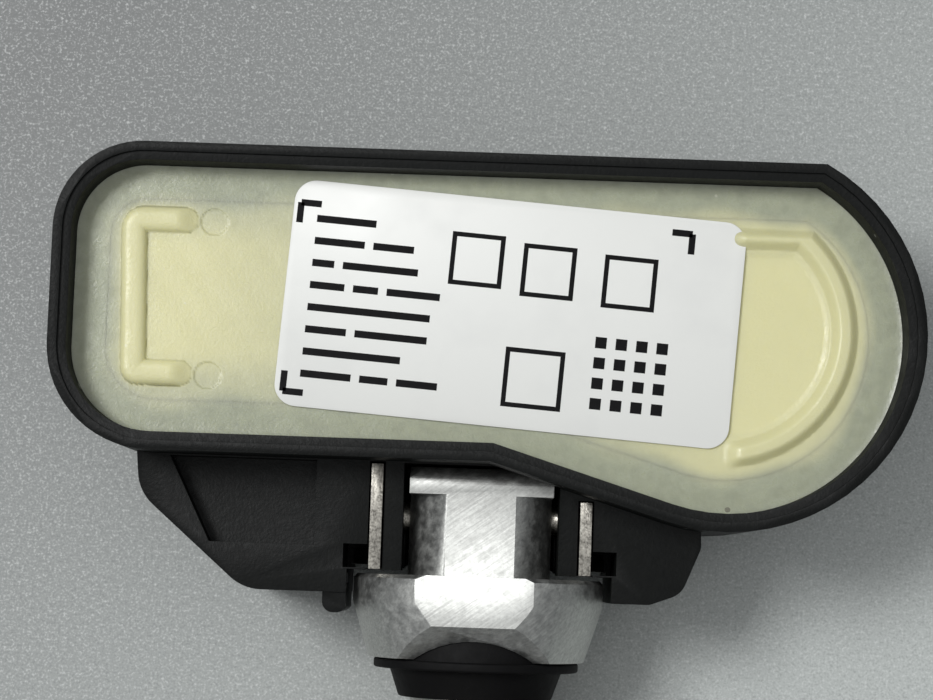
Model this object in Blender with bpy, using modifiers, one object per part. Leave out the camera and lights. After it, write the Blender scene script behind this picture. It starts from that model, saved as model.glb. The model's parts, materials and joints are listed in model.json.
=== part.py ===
"""Clamp-in wheel pressure sensor: a potted housing with its electronics and a tilting valve stem.

Frame: X runs along the housing, the valve stem points to -Y, and Z is up. The origin lies on the flat
base, below the stem axis and on the centreline of the housing's straight part.
"""

from math import acos, asin, atan2, cos, pi, radians, sin, sqrt, tan

import bmesh
import bpy
from mathutils import Matrix, Vector

MM = 0.001

# Housing, seen from above: a straight left part that widens into a round right end
BODY_LENGTH = 55.0 * MM
BODY_HALF_WIDTH = 9.7 * MM
BODY_HEIGHT = 17.0 * MM
ROUND_EXTRA = 2.7 * MM
ROUND_DROP = 1.2 * MM
BACK_CORNER_RADIUS = 5.6 * MM
FRONT_CORNER_RADIUS = 6.6 * MM
FLARE_START_X = 0.4 * MM
BASE_ROUNDING = 1.0 * MM
ARC_STEP = radians(6)

# Housing walls and the well for the cover
RIM_WALL = 1.15 * MM
INNER_WALL = 2.1 * MM
FLOOR = 2.0 * MM
LEDGE_DEPTH = 3.8 * MM
LIP_WIDTH = 0.6 * MM
LIP_STEP = 0.2 * MM
COVER_DEPTH = 2.5 * MM
POTTING_WIDTH = 2.1 * MM
FIT_GAP = 0.1 * MM
JOIN_OVERLAP = 0.5 * MM

# Raised marks on the cover
RIDGE_HEIGHT = 0.55 * MM
C_RIDGE_WIDTH = 1.65 * MM
C_RIDGE_LENGTH = 11.4 * MM
C_RIDGE_ARM = 4.7 * MM
C_RIDGE_INSET = 4.3 * MM
C_RIDGE_CENTRE_Y = 0.2 * MM
D_RIDGE_WIDTH = 1.8 * MM
D_RIDGE_SPACE = 3.6 * MM
D_RIDGE_FLAT_WIDTH = 1.4 * MM
D_RIDGE_FLAT_DROP = 2.2 * MM

# Label
LABEL_LENGTH = 28.9 * MM
LABEL_WIDTH = 14.5 * MM
LABEL_THICKNESS = 0.12 * MM
LABEL_CORNER = 1.4 * MM
LABEL_CENTRE = (1.45 * MM, -0.2 * MM)
LABEL_TURN = radians(-3.9)
LABEL_GLUE = 0.05 * MM

# Valve stem: distances run along its axis, outwards from the tilt pivot
PIVOT_REACH = 3.4 * MM
TILT_DOWN = radians(12)
HEAD_RADIUS = 6.2 * MM
HEAD_WIDTH = 9.24 * MM
FLAT_HEIGHT = 4.13 * MM
HEAD_END = -3.15 * MM
SHOULDER = -1.4 * MM
HEAD_ROUNDING = 1.2 * MM
NECK_RADIUS = 4.69 * MM
COLLAR_START = 3.8 * MM
COLLAR_LENGTH = 5.3 * MM
COLLAR_RADIUS = 8.15 * MM
COLLAR_FLATS = 14.5 * MM
COLLAR_CONE_START = 1.75 * MM
COLLAR_CONE = radians(17.5)
COLLAR_EDGE = 0.25 * MM
COLLAR_FACET_START = 3.15 * MM
COLLAR_TURN = radians(2)
CUP_RADIUS = 6.35 * MM
CUP_DEPTH = 1.6 * MM
SHANK_RADIUS = 4.2 * MM
NUT_THREAD_RADIUS = 4.15 * MM
CAP_THREAD_RADIUS = 3.85 * MM
CAP_THREAD_LENGTH = 9.0 * MM
STEM_TIP = 41.9 * MM
AIR_BORE_RADIUS = 1.5 * MM
CORE_BORE_RADIUS = 2.65 * MM
CORE_BORE_DEPTH = 8.4 * MM
CORE_SEAT_LENGTH = 1.2 * MM
THREAD_GAP = 0.1 * MM

# Rim seal, washer, nut and cap
SEAL_BASE_GAP = 0.15 * MM
SEAL_FLANGE_LENGTH = 0.58 * MM
SEAL_FLANGE_EDGE = 1.05 * MM
SEAL_NECK_WALL = 1.4 * MM
SEAL_TIP_WALL = 0.77 * MM
SEAL_NECK_LENGTH = 1.82 * MM
WASHER_RADIUS = 7.5 * MM
WASHER_THICKNESS = 1.0 * MM
RIM_SPACE = 1.8 * MM
NUT_FLATS = 12.0 * MM
NUT_LENGTH = 8.4 * MM
NUT_FLANGE_RADIUS = 7.2 * MM
NUT_FLANGE_LENGTH = 1.8 * MM
CAP_RADIUS = 5.1 * MM
CAP_LENGTH = 11.5 * MM
CAP_END_WALL = 1.2 * MM
CAP_GASKET_THICKNESS = 0.32 * MM

# Valve core
CORE_PLUG_LENGTH = 3.9 * MM
CORE_BARREL_RADIUS = 2.1 * MM
CORE_BARREL_BORE = 1.35 * MM
CORE_PIN_RADIUS = 0.45 * MM
CORE_PIN_TAIL = 1.9 * MM
CORE_CUP_LENGTH = 1.0 * MM
SPRING_WIRE = 0.24 * MM
SPRING_RADIUS = 0.85 * MM
SPRING_TURNS = 5

# Cradle for the stem, at the front of the housing: sizes in Y run outwards from the pivot
CRADLE_ABOVE_AXIS = 4.1 * MM
CRADLE_REACH = 3.55 * MM
CRADLE_OVERLAP = 0.7 * MM
BLOCK_WALL = 1.4 * MM
WING_REACH = 5.05 * MM
WING_BOTTOM = 2.5 * MM
WING_START = 5.3 * MM
WING_CORNER = 3.0 * MM
RIGHT_WING_END_X = 14.1 * MM
POCKET_DEPTH = 1.6 * MM
CORE_OUT_TOP = 9.6 * MM
COLLAR_CLEARANCE = 0.3 * MM
HEAD_SIDE_GAP = 0.38 * MM
CHANNEL_DROP = 1.1 * MM
SADDLE_GAP = 0.25 * MM
SWING_GAP = 0.25 * MM
LUG_WIDTH = 1.6 * MM
LUG_REACH = 6.35 * MM

# Stem clip
CHEEK = 1.2 * MM
CLIP_THICKNESS = 0.75 * MM
CLIP_GAP = 0.12 * MM
CLIP_SLACK = 0.15 * MM
CLIP_PROUD = 0.3 * MM
CLIP_BACK = 3.2 * MM
CLIP_FRONT = 3.5 * MM
CLIP_SHORT_BACK = 1.15 * MM
CLIP_LEG_DROP = 5.5 * MM
CLIP_BASE_Z = 0.45 * MM
BRIDGE_BACK = 1.0 * MM
BRIDGE_FRONT = 1.1 * MM
CLIP_CORNER = 0.9 * MM
BOSS_RADIUS = 0.9 * MM
BARB_OUT = 1.2 * MM
BARB_ROOT = 0.3 * MM
BARB_RISE = 1.1 * MM
BARB_LENGTH = 3.0 * MM

# Electronics
BOARD_THICKNESS = 1.0 * MM
BOARD_RISE = 2.6 * MM
BOARD_END_X = 3.6 * MM
POST_RADIUS = 1.2 * MM
POST_FROM_SIDE = 3.0 * MM
POST_FROM_END = 4.0 * MM
POST_FROM_BOARD_END = 1.8 * MM
CELL_RADIUS = 8.0 * MM
CELL_HEIGHT = 3.2 * MM
CELL_RISE = 0.5 * MM
TAB_THICKNESS = 0.2 * MM
TAB_WIDTH = 3.0 * MM
PORT = (-15.0 * MM, -0.5 * MM)
PORT_RADIUS = 0.7 * MM
FILTER_RADIUS = 2.8 * MM
FILTER_THICKNESS = 0.3 * MM
CHIP_SIZE = 5.0 * MM
CHIP_HEIGHT = 1.8 * MM
ANTENNA_WIRE = 0.9 * MM
COIL_CENTRE = (-6.0 * MM, 3.5 * MM)
COIL_SIZE = (11.0 * MM, 3.0 * MM, 2.6 * MM)

# Worked out from the sizes above
ROUND_RADIUS = BODY_HALF_WIDTH + ROUND_EXTRA
ROUND_CENTRE = Vector((BODY_LENGTH / 2 - ROUND_RADIUS, -ROUND_DROP))
LEFT_END = -BODY_LENGTH / 2
FRONT_Y = -BODY_HALF_WIDTH
PIVOT_Y = FRONT_Y - PIVOT_REACH
AXIS_Z = BODY_HEIGHT / 2
COVER_TOP = BODY_HEIGHT - COVER_DEPTH
LEDGE_Z = BODY_HEIGHT - LEDGE_DEPTH
COVER_UNDER = LEDGE_Z + FIT_GAP
CRADLE_TOP = AXIS_Z + CRADLE_ABOVE_AXIS
COLLAR_END = COLLAR_START + COLLAR_LENGTH
CHANNEL = HEAD_WIDTH / 2 + HEAD_SIDE_GAP
CLIP_INNER = CHANNEL + CHEEK + CLIP_GAP
CLIP_OUTER = CLIP_INNER + CLIP_THICKNESS
SLOT_INNER = CLIP_INNER - CLIP_GAP
SLOT_OUTER = CLIP_OUTER + CLIP_GAP
BLOCK_HALF = SLOT_OUTER + BLOCK_WALL
NOTCH_HALF = COLLAR_RADIUS + COLLAR_CLEARANCE
SEAL_BASE_RADIUS = CUP_RADIUS - SEAL_BASE_GAP
SEAL_NECK_RADIUS = SHANK_RADIUS + SEAL_NECK_WALL
SEAL_TIP_RADIUS = SHANK_RADIUS + SEAL_TIP_WALL
SEAL_FLANGE_RADIUS = SEAL_NECK_RADIUS + SEAL_FLANGE_EDGE
SEAL_SEAT = COLLAR_END + FIT_GAP + SEAL_FLANGE_LENGTH
SEAL_TIP = SEAL_SEAT + SEAL_NECK_LENGTH
WASHER_START = SEAL_TIP + RIM_SPACE
NUT_START = WASHER_START + WASHER_THICKNESS + FIT_GAP
CAP_THREAD_START = STEM_TIP - CAP_THREAD_LENGTH
BOARD_Z = FLOOR + BOARD_RISE
BOARD_TOP = BOARD_Z + BOARD_THICKNESS
ANTENNA_Z = LEDGE_Z - 2.7 * MM
CELL_Z = FLOOR + CELL_RISE

BLACK_PLASTIC = ("black_plastic", (0.016, 0.017, 0.018), 0.55, 0.0)
CREAM_PLASTIC = ("cream_plastic", (0.66, 0.62, 0.38), 0.45, 0.0)
CLEAR_RESIN = ("potting_resin", (0.52, 0.53, 0.42), 0.35, 0.0)
WHITE_FILM = ("label_film", (0.86, 0.86, 0.84), 0.4, 0.0)
ALUMINIUM = ("stem_aluminium", (0.62, 0.62, 0.60), 0.38, 1.0)
SPRING_STEEL = ("spring_steel", (0.60, 0.58, 0.53), 0.3, 1.0)
BLACK_RUBBER = ("black_rubber", (0.012, 0.012, 0.013), 0.65, 0.0)
NICKEL = ("nickel_plate", (0.66, 0.63, 0.56), 0.28, 1.0)
BRASS = ("brass", (0.72, 0.52, 0.24), 0.3, 1.0)
BOARD_GREEN = ("board_green", (0.02, 0.13, 0.05), 0.45, 0.0)
FERRITE = ("ferrite", (0.05, 0.05, 0.055), 0.6, 0.0)
COPPER = ("copper_wire", (0.72, 0.32, 0.16), 0.3, 1.0)
CERAMIC = ("chip_ceramic", (0.35, 0.25, 0.16), 0.5, 0.0)
CHIP_BLACK = ("chip_black", (0.03, 0.03, 0.032), 0.5, 0.0)
FILTER_WHITE = ("filter_membrane", (0.8, 0.8, 0.78), 0.8, 0.0)


def clear_scene():
    for old in list(bpy.data.objects):
        bpy.data.objects.remove(old, do_unlink=True)
    for old in list(bpy.data.collections):
        bpy.data.collections.remove(old)


def new_collection(name, hidden=False):
    made = bpy.data.collections.new(name)
    made.hide_render = hidden
    bpy.context.scene.collection.children.link(made)
    return made


clear_scene()
PARTS = new_collection("wheel_pressure_sensor")
CUTTERS = new_collection("cutters", hidden=True)


def finish_of(recipe):
    """The named Principled material, made once."""
    name, colour, roughness, metallic = recipe
    found = bpy.data.materials.get(name)
    if found:
        return found
    made = bpy.data.materials.new(name)
    made.use_nodes = True
    shader = made.node_tree.nodes["Principled BSDF"]
    shader.inputs["Base Color"].default_value = (*colour, 1.0)
    shader.inputs["Roughness"].default_value = roughness
    shader.inputs["Metallic"].default_value = metallic
    return made


def add_object(name, mesh, recipe=None, parent=None):
    """A part when it has a finish, and a hidden cutter or joining shape when it has none."""
    made = bpy.data.objects.new(name, mesh)
    made.parent = parent
    if recipe:
        mesh.materials.append(finish_of(recipe))
        PARTS.objects.link(made)
    else:
        made.hide_render = True
        made.display_type = "WIRE"
        CUTTERS.objects.link(made)
    return made


def boolean(target, tool, operation):
    step = target.modifiers.new(f"{operation.lower()} {tool.name}", "BOOLEAN")
    step.operation = operation
    step.object = tool


def cut(target, *tools):
    for tool in tools:
        boolean(target, tool, "DIFFERENCE")


def join(target, *tools):
    for tool in tools:
        boolean(target, tool, "UNION")


def round_edges(target, width, segments=2):
    step = target.modifiers.new("edge rounding", "BEVEL")
    step.width = width
    step.segments = segments
    step.limit_method = "ANGLE"
    step.angle_limit = radians(40)


def shade_round(mesh):
    mesh.shade_smooth()
    mesh.set_sharp_from_angle(angle=radians(35))


def mesh_from_curve(curve, name):
    """The curve's shape as a mesh, with its caps welded to its sides."""
    holder = bpy.data.objects.new(name, curve)
    CUTTERS.objects.link(holder)
    bpy.context.view_layer.update()
    seen = holder.evaluated_get(bpy.context.evaluated_depsgraph_get())
    mesh = bpy.data.meshes.new_from_object(seen)
    bpy.data.objects.remove(holder, do_unlink=True)
    bpy.data.curves.remove(curve)
    shape = bmesh.new()
    shape.from_mesh(mesh)
    bmesh.ops.remove_doubles(shape, verts=shape.verts, dist=1e-6)
    bmesh.ops.recalc_face_normals(shape, faces=shape.faces)
    shape.to_mesh(mesh)
    shape.free()
    mesh.name = name
    return mesh


def prism(name, outlines, low, high, recipe=None, parent=None, place=None, base_rounding=0.0):
    """A flat outline, with any holes as further outlines, raised from low to high along Z."""
    curve = bpy.data.curves.new(name, "CURVE")
    curve.dimensions = "2D"
    curve.fill_mode = "BOTH"
    curve.extrude = (high - low) / 2
    for outline in outlines:
        spline = curve.splines.new("POLY")
        spline.points.add(len(outline) - 1)
        for point, (x, y) in zip(spline.points, outline):
            point.co = (x, y, 0, 1)
        spline.use_cyclic_u = True
    mesh = mesh_from_curve(curve, name)
    mesh.transform(Matrix.Translation((0, 0, (low + high) / 2)))
    if base_rounding:
        round_base(mesh, low, base_rounding)
    if place:
        mesh.transform(place)
    return add_object(name, mesh, recipe, parent)


def round_base(mesh, level, radius):
    """Rounds the outer edge of the face at this level."""
    shape = bmesh.new()
    shape.from_mesh(mesh)
    flat = [f for f in shape.faces if all(abs(v.co.z - level) < 1e-7 for v in f.verts)]
    bmesh.ops.dissolve_faces(shape, faces=flat)
    edges = [e for e in shape.edges if all(abs(v.co.z - level) < 1e-7 for v in e.verts)]
    bmesh.ops.bevel(shape, geom=edges, offset=radius, segments=3, profile=0.5, affect="EDGES")
    shape.to_mesh(mesh)
    shape.free()


def block(name, low, high, recipe=None, parent=None, place=None, rounding=0.0):
    """A box between two corners."""
    low, high = Vector(low), Vector(high)
    shape = bmesh.new()
    bmesh.ops.create_cube(shape, size=1)
    bmesh.ops.scale(shape, vec=high - low, verts=shape.verts)
    bmesh.ops.translate(shape, vec=(low + high) / 2, verts=shape.verts)
    mesh = bpy.data.meshes.new(name)
    shape.to_mesh(mesh)
    shape.free()
    if place:
        mesh.transform(place)
    made = add_object(name, mesh, recipe, parent)
    if rounding:
        round_edges(made, rounding)
    return made


def rod(name, radius, low, high, recipe=None, parent=None, place=None, sides=32):
    """A cylinder on the Z axis from low to high."""
    shape = bmesh.new()
    bmesh.ops.create_cone(
        shape, cap_ends=True, segments=sides, radius1=radius, radius2=radius, depth=high - low
    )
    bmesh.ops.translate(shape, vec=(0, 0, (low + high) / 2), verts=shape.verts)
    mesh = bpy.data.meshes.new(name)
    shape.to_mesh(mesh)
    shape.free()
    shade_round(mesh)
    if place:
        mesh.transform(place)
    return add_object(name, mesh, recipe, parent)


def turned(name, profile, recipe=None, parent=None, steps=48, closed=False):
    """A profile of (radius, height) points turned about Z: its outer side runs from top to bottom."""
    mesh = bpy.data.meshes.new(name)
    edges = [(i, i + 1) for i in range(len(profile) - 1)]
    if closed:
        edges.append((len(profile) - 1, 0))
    mesh.from_pydata([(r, 0, z) for r, z in profile], edges, [])
    made = add_object(name, mesh, recipe, parent)
    step = made.modifiers.new("turning", "SCREW")
    step.steps = steps
    step.render_steps = steps
    step.use_merge_vertices = True
    step.merge_threshold = 1e-6
    step.use_smooth_shade = steps > 12
    return made


def ring_profile(inner, outer, low, high):
    return [(outer, high), (outer, low), (inner, low), (inner, high)]


def arc(centre, radius, start, end):
    """Points on an arc from one angle to the other, ends included."""
    count = max(2, round(abs(end - start) / ARC_STEP))
    turn = (end - start) / count
    angles = [start + turn * i for i in range(count + 1)]
    return [(centre[0] + radius * cos(a), centre[1] + radius * sin(a)) for a in angles]


def rounded_outline(corners):
    """An outline through (x, y, radius) corners, each rounded by its radius."""
    points = []
    for i, (x, y, radius) in enumerate(corners):
        here = Vector((x, y))
        before = (Vector(corners[i - 1][:2]) - here).normalized()
        after = (Vector(corners[(i + 1) % len(corners)][:2]) - here).normalized()
        if not radius:
            points.append((x, y))
            continue
        half = before.angle(after) / 2
        middle = here + (before + after).normalized() * (radius / sin(half))
        first = here + before * (radius / tan(half)) - middle
        last = here + after * (radius / tan(half)) - middle
        start = atan2(first.y, first.x)
        sweep = (atan2(last.y, last.x) - start + pi) % (2 * pi) - pi
        points += arc(middle, radius, start, start + sweep)
    return points


def body_outline(inset=0.0):
    """The housing seen from above, moved inwards by the inset. It runs clockwise from the back."""
    half = BODY_HALF_WIDTH - inset
    left = LEFT_END + inset
    radius = ROUND_RADIUS - inset
    from_flare = ROUND_CENTRE - Vector((FLARE_START_X, -BODY_HALF_WIDTH))
    flare = asin(ROUND_RADIUS / from_flare.length) - atan2(from_flare.y, from_flare.x)
    touch_angle = -pi / 2 - flare
    touch = ROUND_CENTRE + Vector((cos(touch_angle), sin(touch_angle))) * radius
    turn_x = touch.x + (touch.y + half) / tan(flare)
    rise = half - ROUND_CENTRE.y
    start = atan2(rise, sqrt(radius**2 - rise**2))
    back_radius = BACK_CORNER_RADIUS - inset
    front_radius = FRONT_CORNER_RADIUS - inset
    return [
        *arc(ROUND_CENTRE, radius, start, touch_angle),
        (turn_x, -half),
        *arc((left + front_radius, -half + front_radius), front_radius, -pi / 2, -pi),
        *arc((left + back_radius, half - back_radius), back_radius, pi, pi / 2),
    ]


UPRIGHT = Matrix.Rotation(pi / 2, 4, "X")
SIDEWAYS = Matrix.Rotation(-pi / 2, 4, "Y")
ACROSS = Matrix.Rotation(pi / 2, 4, "Y")


def mirrored_block(name, low, high):
    """Cutters or joining shapes on both sides of the stem axis, given the one at +X."""
    left_low = (-high[0], low[1], low[2])
    left_high = (-low[0], high[1], high[2])
    return block(f"{name}_right", low, high), block(f"{name}_left", left_low, left_high)


def swing_relief(name):
    """The space that the collar sweeps when the stem is tilted fully down."""
    reach = 3 * COLLAR_RADIUS
    about_pivot = Matrix.Translation((0, PIVOT_Y, AXIS_Z)) @ Matrix.Rotation(TILT_DOWN, 4, "X")
    back = -(COLLAR_START - SWING_GAP)
    return block(
        name, (-NOTCH_HALF, -reach, -reach), (NOTCH_HALF, back, reach), place=about_pivot
    )


# Housing


def add_cradle(housing):
    """The block that carries the stem, its two wings and the lug beside the collar."""
    inside_y = FRONT_Y + CRADLE_OVERLAP
    front_y = PIVOT_Y - CRADLE_REACH
    wing_y = PIVOT_Y - WING_REACH
    centre = block("cradle_block", (-BLOCK_HALF, front_y, 0), (BLOCK_HALF, inside_y, CRADLE_TOP))
    left_x = LEFT_END + WING_START
    left = rounded_outline(
        [
            (left_x, inside_y, 0),
            (left_x + 0.3 * MM, FRONT_Y - 2.5 * MM, WING_CORNER),
            (left_x + 7.2 * MM, wing_y, WING_CORNER),
            (-NOTCH_HALF, wing_y, 0),
            (-NOTCH_HALF, inside_y, 0),
        ]
    )
    right = rounded_outline(
        [
            (NOTCH_HALF, inside_y, 0),
            (NOTCH_HALF, wing_y - 0.15 * MM, 0),
            (RIGHT_WING_END_X - 3.2 * MM, wing_y - 0.15 * MM, 1.0 * MM),
            (RIGHT_WING_END_X - 1.2 * MM, wing_y + 0.6 * MM, 1.5 * MM),
            (RIGHT_WING_END_X, PIVOT_Y - 1.5 * MM, 1.0 * MM),
            (RIGHT_WING_END_X - 0.2 * MM, inside_y, 0),
        ]
    )
    join(
        housing,
        centre,
        prism("left_wing", [left], WING_BOTTOM, CRADLE_TOP),
        prism("right_wing", [right], WING_BOTTOM, CRADLE_TOP),
    )
    lug_x = -NOTCH_HALF + 0.1 * MM
    lug = rounded_outline(
        [
            (lug_x - LUG_WIDTH, front_y - 0.25 * MM, 0),
            (lug_x - LUG_WIDTH, PIVOT_Y - LUG_REACH, 0.7 * MM),
            (lug_x, PIVOT_Y - LUG_REACH, 0.7 * MM),
            (lug_x, front_y - 0.25 * MM, 0),
        ]
    )
    join(housing, prism("lug", [lug], AXIS_Z - 4.5 * MM, CRADLE_TOP - 0.2 * MM))


def hollow_wings(housing):
    """The tapered pocket in the left wing's top, and the core-outs under both wings."""
    left_x = LEFT_END + WING_START
    top_y = FRONT_Y - 0.1 * MM
    low_y = PIVOT_Y - 2.1 * MM
    right_x = -BLOCK_HALF - 2.0 * MM
    pocket = [
        (left_x + 2.2 * MM, top_y),
        (right_x, top_y),
        (right_x, low_y),
        (left_x + 4.9 * MM, low_y),
    ]
    cut(housing, prism("wing_pocket", [pocket], CRADLE_TOP - POCKET_DEPTH, CRADLE_TOP + MM))
    core_y = FRONT_Y - 1.2 * MM
    outer = [
        (left_x + 1.8 * MM, core_y),
        (left_x + 7.0 * MM, core_y),
        (left_x + 7.0 * MM, PIVOT_Y - 3.1 * MM),
        (left_x + 1.8 * MM, PIVOT_Y + 1.3 * MM),
    ]
    inner = [
        (left_x + 8.2 * MM, core_y),
        (-BLOCK_HALF - 1.5 * MM, core_y),
        (-BLOCK_HALF - 1.5 * MM, PIVOT_Y - 3.8 * MM),
        (left_x + 8.2 * MM, PIVOT_Y - 3.8 * MM),
    ]
    right = [
        (BLOCK_HALF + 1.3 * MM, PIVOT_Y - 1.7 * MM),
        (RIGHT_WING_END_X - 1.8 * MM, PIVOT_Y - 1.7 * MM),
        (RIGHT_WING_END_X - 2.3 * MM, PIVOT_Y - 3.5 * MM),
        (BLOCK_HALF + 1.3 * MM, PIVOT_Y - 3.9 * MM),
    ]
    for name, outline in (("outer", outer), ("inner", inner), ("right", right)):
        cut(housing, prism(f"core_out_{name}", [outline], -MM, CORE_OUT_TOP))


def hollow_cradle(housing):
    """The head's pocket, the channel and saddle for the neck, and the collar's swing."""
    head_half = CHANNEL
    pocket_back = PIVOT_Y - HEAD_END + 0.15 * MM
    pocket_front = PIVOT_Y - SHOULDER - SWING_GAP
    pocket_low = AXIS_Z - FLAT_HEIGHT - 0.5 * MM
    swing_back = PIVOT_Y - HEAD_END + 0.7 * MM
    front = PIVOT_Y - 2 * CRADLE_REACH
    cut(
        housing,
        block(
            "head_pocket",
            (-head_half, pocket_front, pocket_low),
            (head_half, pocket_back, LEDGE_Z),
        ),
        block(
            "head_swing",
            (-head_half + 0.3 * MM, pocket_front, AXIS_Z - 4.0 * MM),
            (head_half - 0.3 * MM, swing_back, AXIS_Z - 0.2 * MM),
        ),
        block(
            "neck_channel",
            (-CHANNEL, front, AXIS_Z - CHANNEL_DROP),
            (CHANNEL, pocket_front + MM, CRADLE_TOP + MM),
        ),
        saddle("saddle_level", 0),
        saddle("saddle_down", TILT_DOWN),
        swing_relief("collar_swing"),
    )


def saddle(name, tilt):
    """The neck's running clearance at one tilt of the stem."""
    place = (
        Matrix.Translation((0, PIVOT_Y, AXIS_Z)) @ Matrix.Rotation(tilt, 4, "X") @ UPRIGHT
    )
    start = SHOULDER + SWING_GAP - 0.1 * MM
    return rod(name, NECK_RADIUS + SADDLE_GAP, start, 3 * CRADLE_REACH, place=place)


def cut_clip_seat(housing):
    """Slots for the clip's legs and bridge, and recesses for its bosses and barbs."""
    back = PIVOT_Y + CLIP_BACK + CLIP_SLACK
    short_back = PIVOT_Y + CLIP_SHORT_BACK + 0.1 * MM
    front = PIVOT_Y - CRADLE_REACH - MM
    over = CRADLE_TOP + MM
    barb_low = AXIS_Z - 2.2 * MM
    boss_top = AXIS_Z + BOSS_RADIUS + CLIP_SLACK
    boss_half = BOSS_RADIUS + CLIP_SLACK
    cut(
        housing,
        block("left_slot", (-SLOT_OUTER, front, -MM), (-SLOT_INNER, back, over)),
        block("right_slot", (SLOT_INNER, front, -MM), (SLOT_OUTER, short_back, over)),
        block(
            "bridge_groove",
            (-SLOT_OUTER, PIVOT_Y - BRIDGE_FRONT - CLIP_SLACK, -MM),
            (SLOT_OUTER, short_back, CLIP_BASE_Z + CLIP_THICKNESS + CLIP_SLACK),
        ),
        *mirrored_block(
            "boss_slot",
            (CHANNEL - 0.1 * MM, PIVOT_Y - boss_half, -MM),
            (SLOT_INNER + 0.1 * MM, PIVOT_Y + boss_half, boss_top),
        ),
        *mirrored_block(
            "barb_recess",
            (SLOT_OUTER - 0.1 * MM, PIVOT_Y - CLIP_FRONT + 0.05 * MM, barb_low),
            (CLIP_OUTER + BARB_OUT + 0.45 * MM, PIVOT_Y - 1.95 * MM, over),
        ),
    )


def post_places():
    back = BODY_HALF_WIDTH - INNER_WALL - POST_FROM_SIDE
    left = LEFT_END + INNER_WALL + POST_FROM_END
    right = BOARD_END_X - POST_FROM_BOARD_END
    return [(x, y) for x in (left, right) for y in (back, -back)]


def add_board_posts(housing):
    for number, (x, y) in enumerate(post_places(), 1):
        place = Matrix.Translation((x, y, 0))
        join(
            housing,
            rod(
                f"board_post_{number}",
                POST_RADIUS,
                FLOOR - JOIN_OVERLAP,
                BOARD_Z - FIT_GAP,
                place=place,
                sides=16,
            ),
        )


def cut_port(housing):
    """The pressure port through the floor, and the filter's recess under it."""
    place = Matrix.Translation((*PORT, 0))
    recess = FILTER_THICKNESS + 2 * FIT_GAP
    cut(
        housing,
        rod("port_hole", PORT_RADIUS, -MM, FLOOR + MM, place=place, sides=16),
        rod("filter_recess", FILTER_RADIUS + 2 * FIT_GAP, -MM, recess, place=place),
    )


def housing():
    body = prism(
        "housing", [body_outline()], 0, BODY_HEIGHT, BLACK_PLASTIC, base_rounding=BASE_ROUNDING
    )
    add_cradle(body)
    hollow_wings(body)
    cut(
        body,
        prism("lip", [body_outline(LIP_WIDTH)], BODY_HEIGHT - LIP_STEP, BODY_HEIGHT + MM),
        prism("upper_well", [body_outline(RIM_WALL)], LEDGE_Z, BODY_HEIGHT + 2 * MM),
        prism("lower_well", [body_outline(INNER_WALL)], FLOOR, BODY_HEIGHT + 3 * MM),
    )
    hollow_cradle(body)
    cut_clip_seat(body)
    add_board_posts(body)
    cut_port(body)


# Cover


def c_ridge():
    outer = LEFT_END + C_RIDGE_INSET
    inner = outer + C_RIDGE_WIDTH
    end = outer + C_RIDGE_ARM
    top = C_RIDGE_CENTRE_Y + C_RIDGE_LENGTH / 2
    low = C_RIDGE_CENTRE_Y - C_RIDGE_LENGTH / 2
    inner_top = top - C_RIDGE_WIDTH
    inner_low = low + C_RIDGE_WIDTH
    outline = rounded_outline(
        [
            (outer, top, 1.4 * MM),
            (end, top, 0.5 * MM),
            (end, inner_top, 0.5 * MM),
            (inner, inner_top, 0.4 * MM),
            (inner, inner_low, 0.4 * MM),
            (end, inner_low, 0.5 * MM),
            (end, low, 0.5 * MM),
            (outer, low, 1.0 * MM),
        ]
    )
    return prism("c_ridge", [outline], COVER_UNDER + JOIN_OVERLAP, COVER_TOP + RIDGE_HEIGHT)


def d_ridge():
    """A round ridge whose back is cut straight. It starts just past the label."""
    centre = ROUND_CENTRE + Vector((-0.33 * MM, 0.41 * MM))
    outer = ROUND_RADIUS - D_RIDGE_SPACE
    inner = outer - D_RIDGE_WIDTH
    flat = outer - D_RIDGE_FLAT_DROP
    inner_flat = flat - D_RIDGE_FLAT_WIDTH
    start = LABEL_CENTRE[0] + LABEL_LENGTH / 2 + 0.65 * MM - centre.x
    outline = [
        (centre.x + start, centre.y + flat),
        *arc(centre, outer, asin(flat / outer), -acos(start / outer)),
        *arc(centre, inner, -acos(start / inner), asin(inner_flat / inner)),
        (centre.x + start, centre.y + inner_flat),
    ]
    return prism("d_ridge", [outline], COVER_UNDER + JOIN_OVERLAP, COVER_TOP + RIDGE_HEIGHT)


def cover():
    """The cream cover, the clear potting round it and the label on it."""
    seam = RIM_WALL + POTTING_WIDTH
    plate = prism(
        "cover_plate", [body_outline(seam + FIT_GAP)], COVER_UNDER, COVER_TOP, CREAM_PLASTIC
    )
    join(plate, c_ridge(), d_ridge())
    prism(
        "potting_ring",
        [body_outline(RIM_WALL + FIT_GAP), body_outline(seam)],
        COVER_UNDER,
        COVER_TOP,
        CLEAR_RESIN,
    )
    x, y = LABEL_LENGTH / 2, LABEL_WIDTH / 2
    corners = [(-x, -y), (x, -y), (x, y), (-x, y)]
    place = Matrix.Translation((*LABEL_CENTRE, 0)) @ Matrix.Rotation(LABEL_TURN, 4, "Z")
    low = COVER_TOP + LABEL_GLUE
    prism(
        "label",
        [rounded_outline([(*corner, LABEL_CORNER) for corner in corners])],
        low,
        low + LABEL_THICKNESS,
        WHITE_FILM,
        place=place,
    )


# Stem clip


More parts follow.
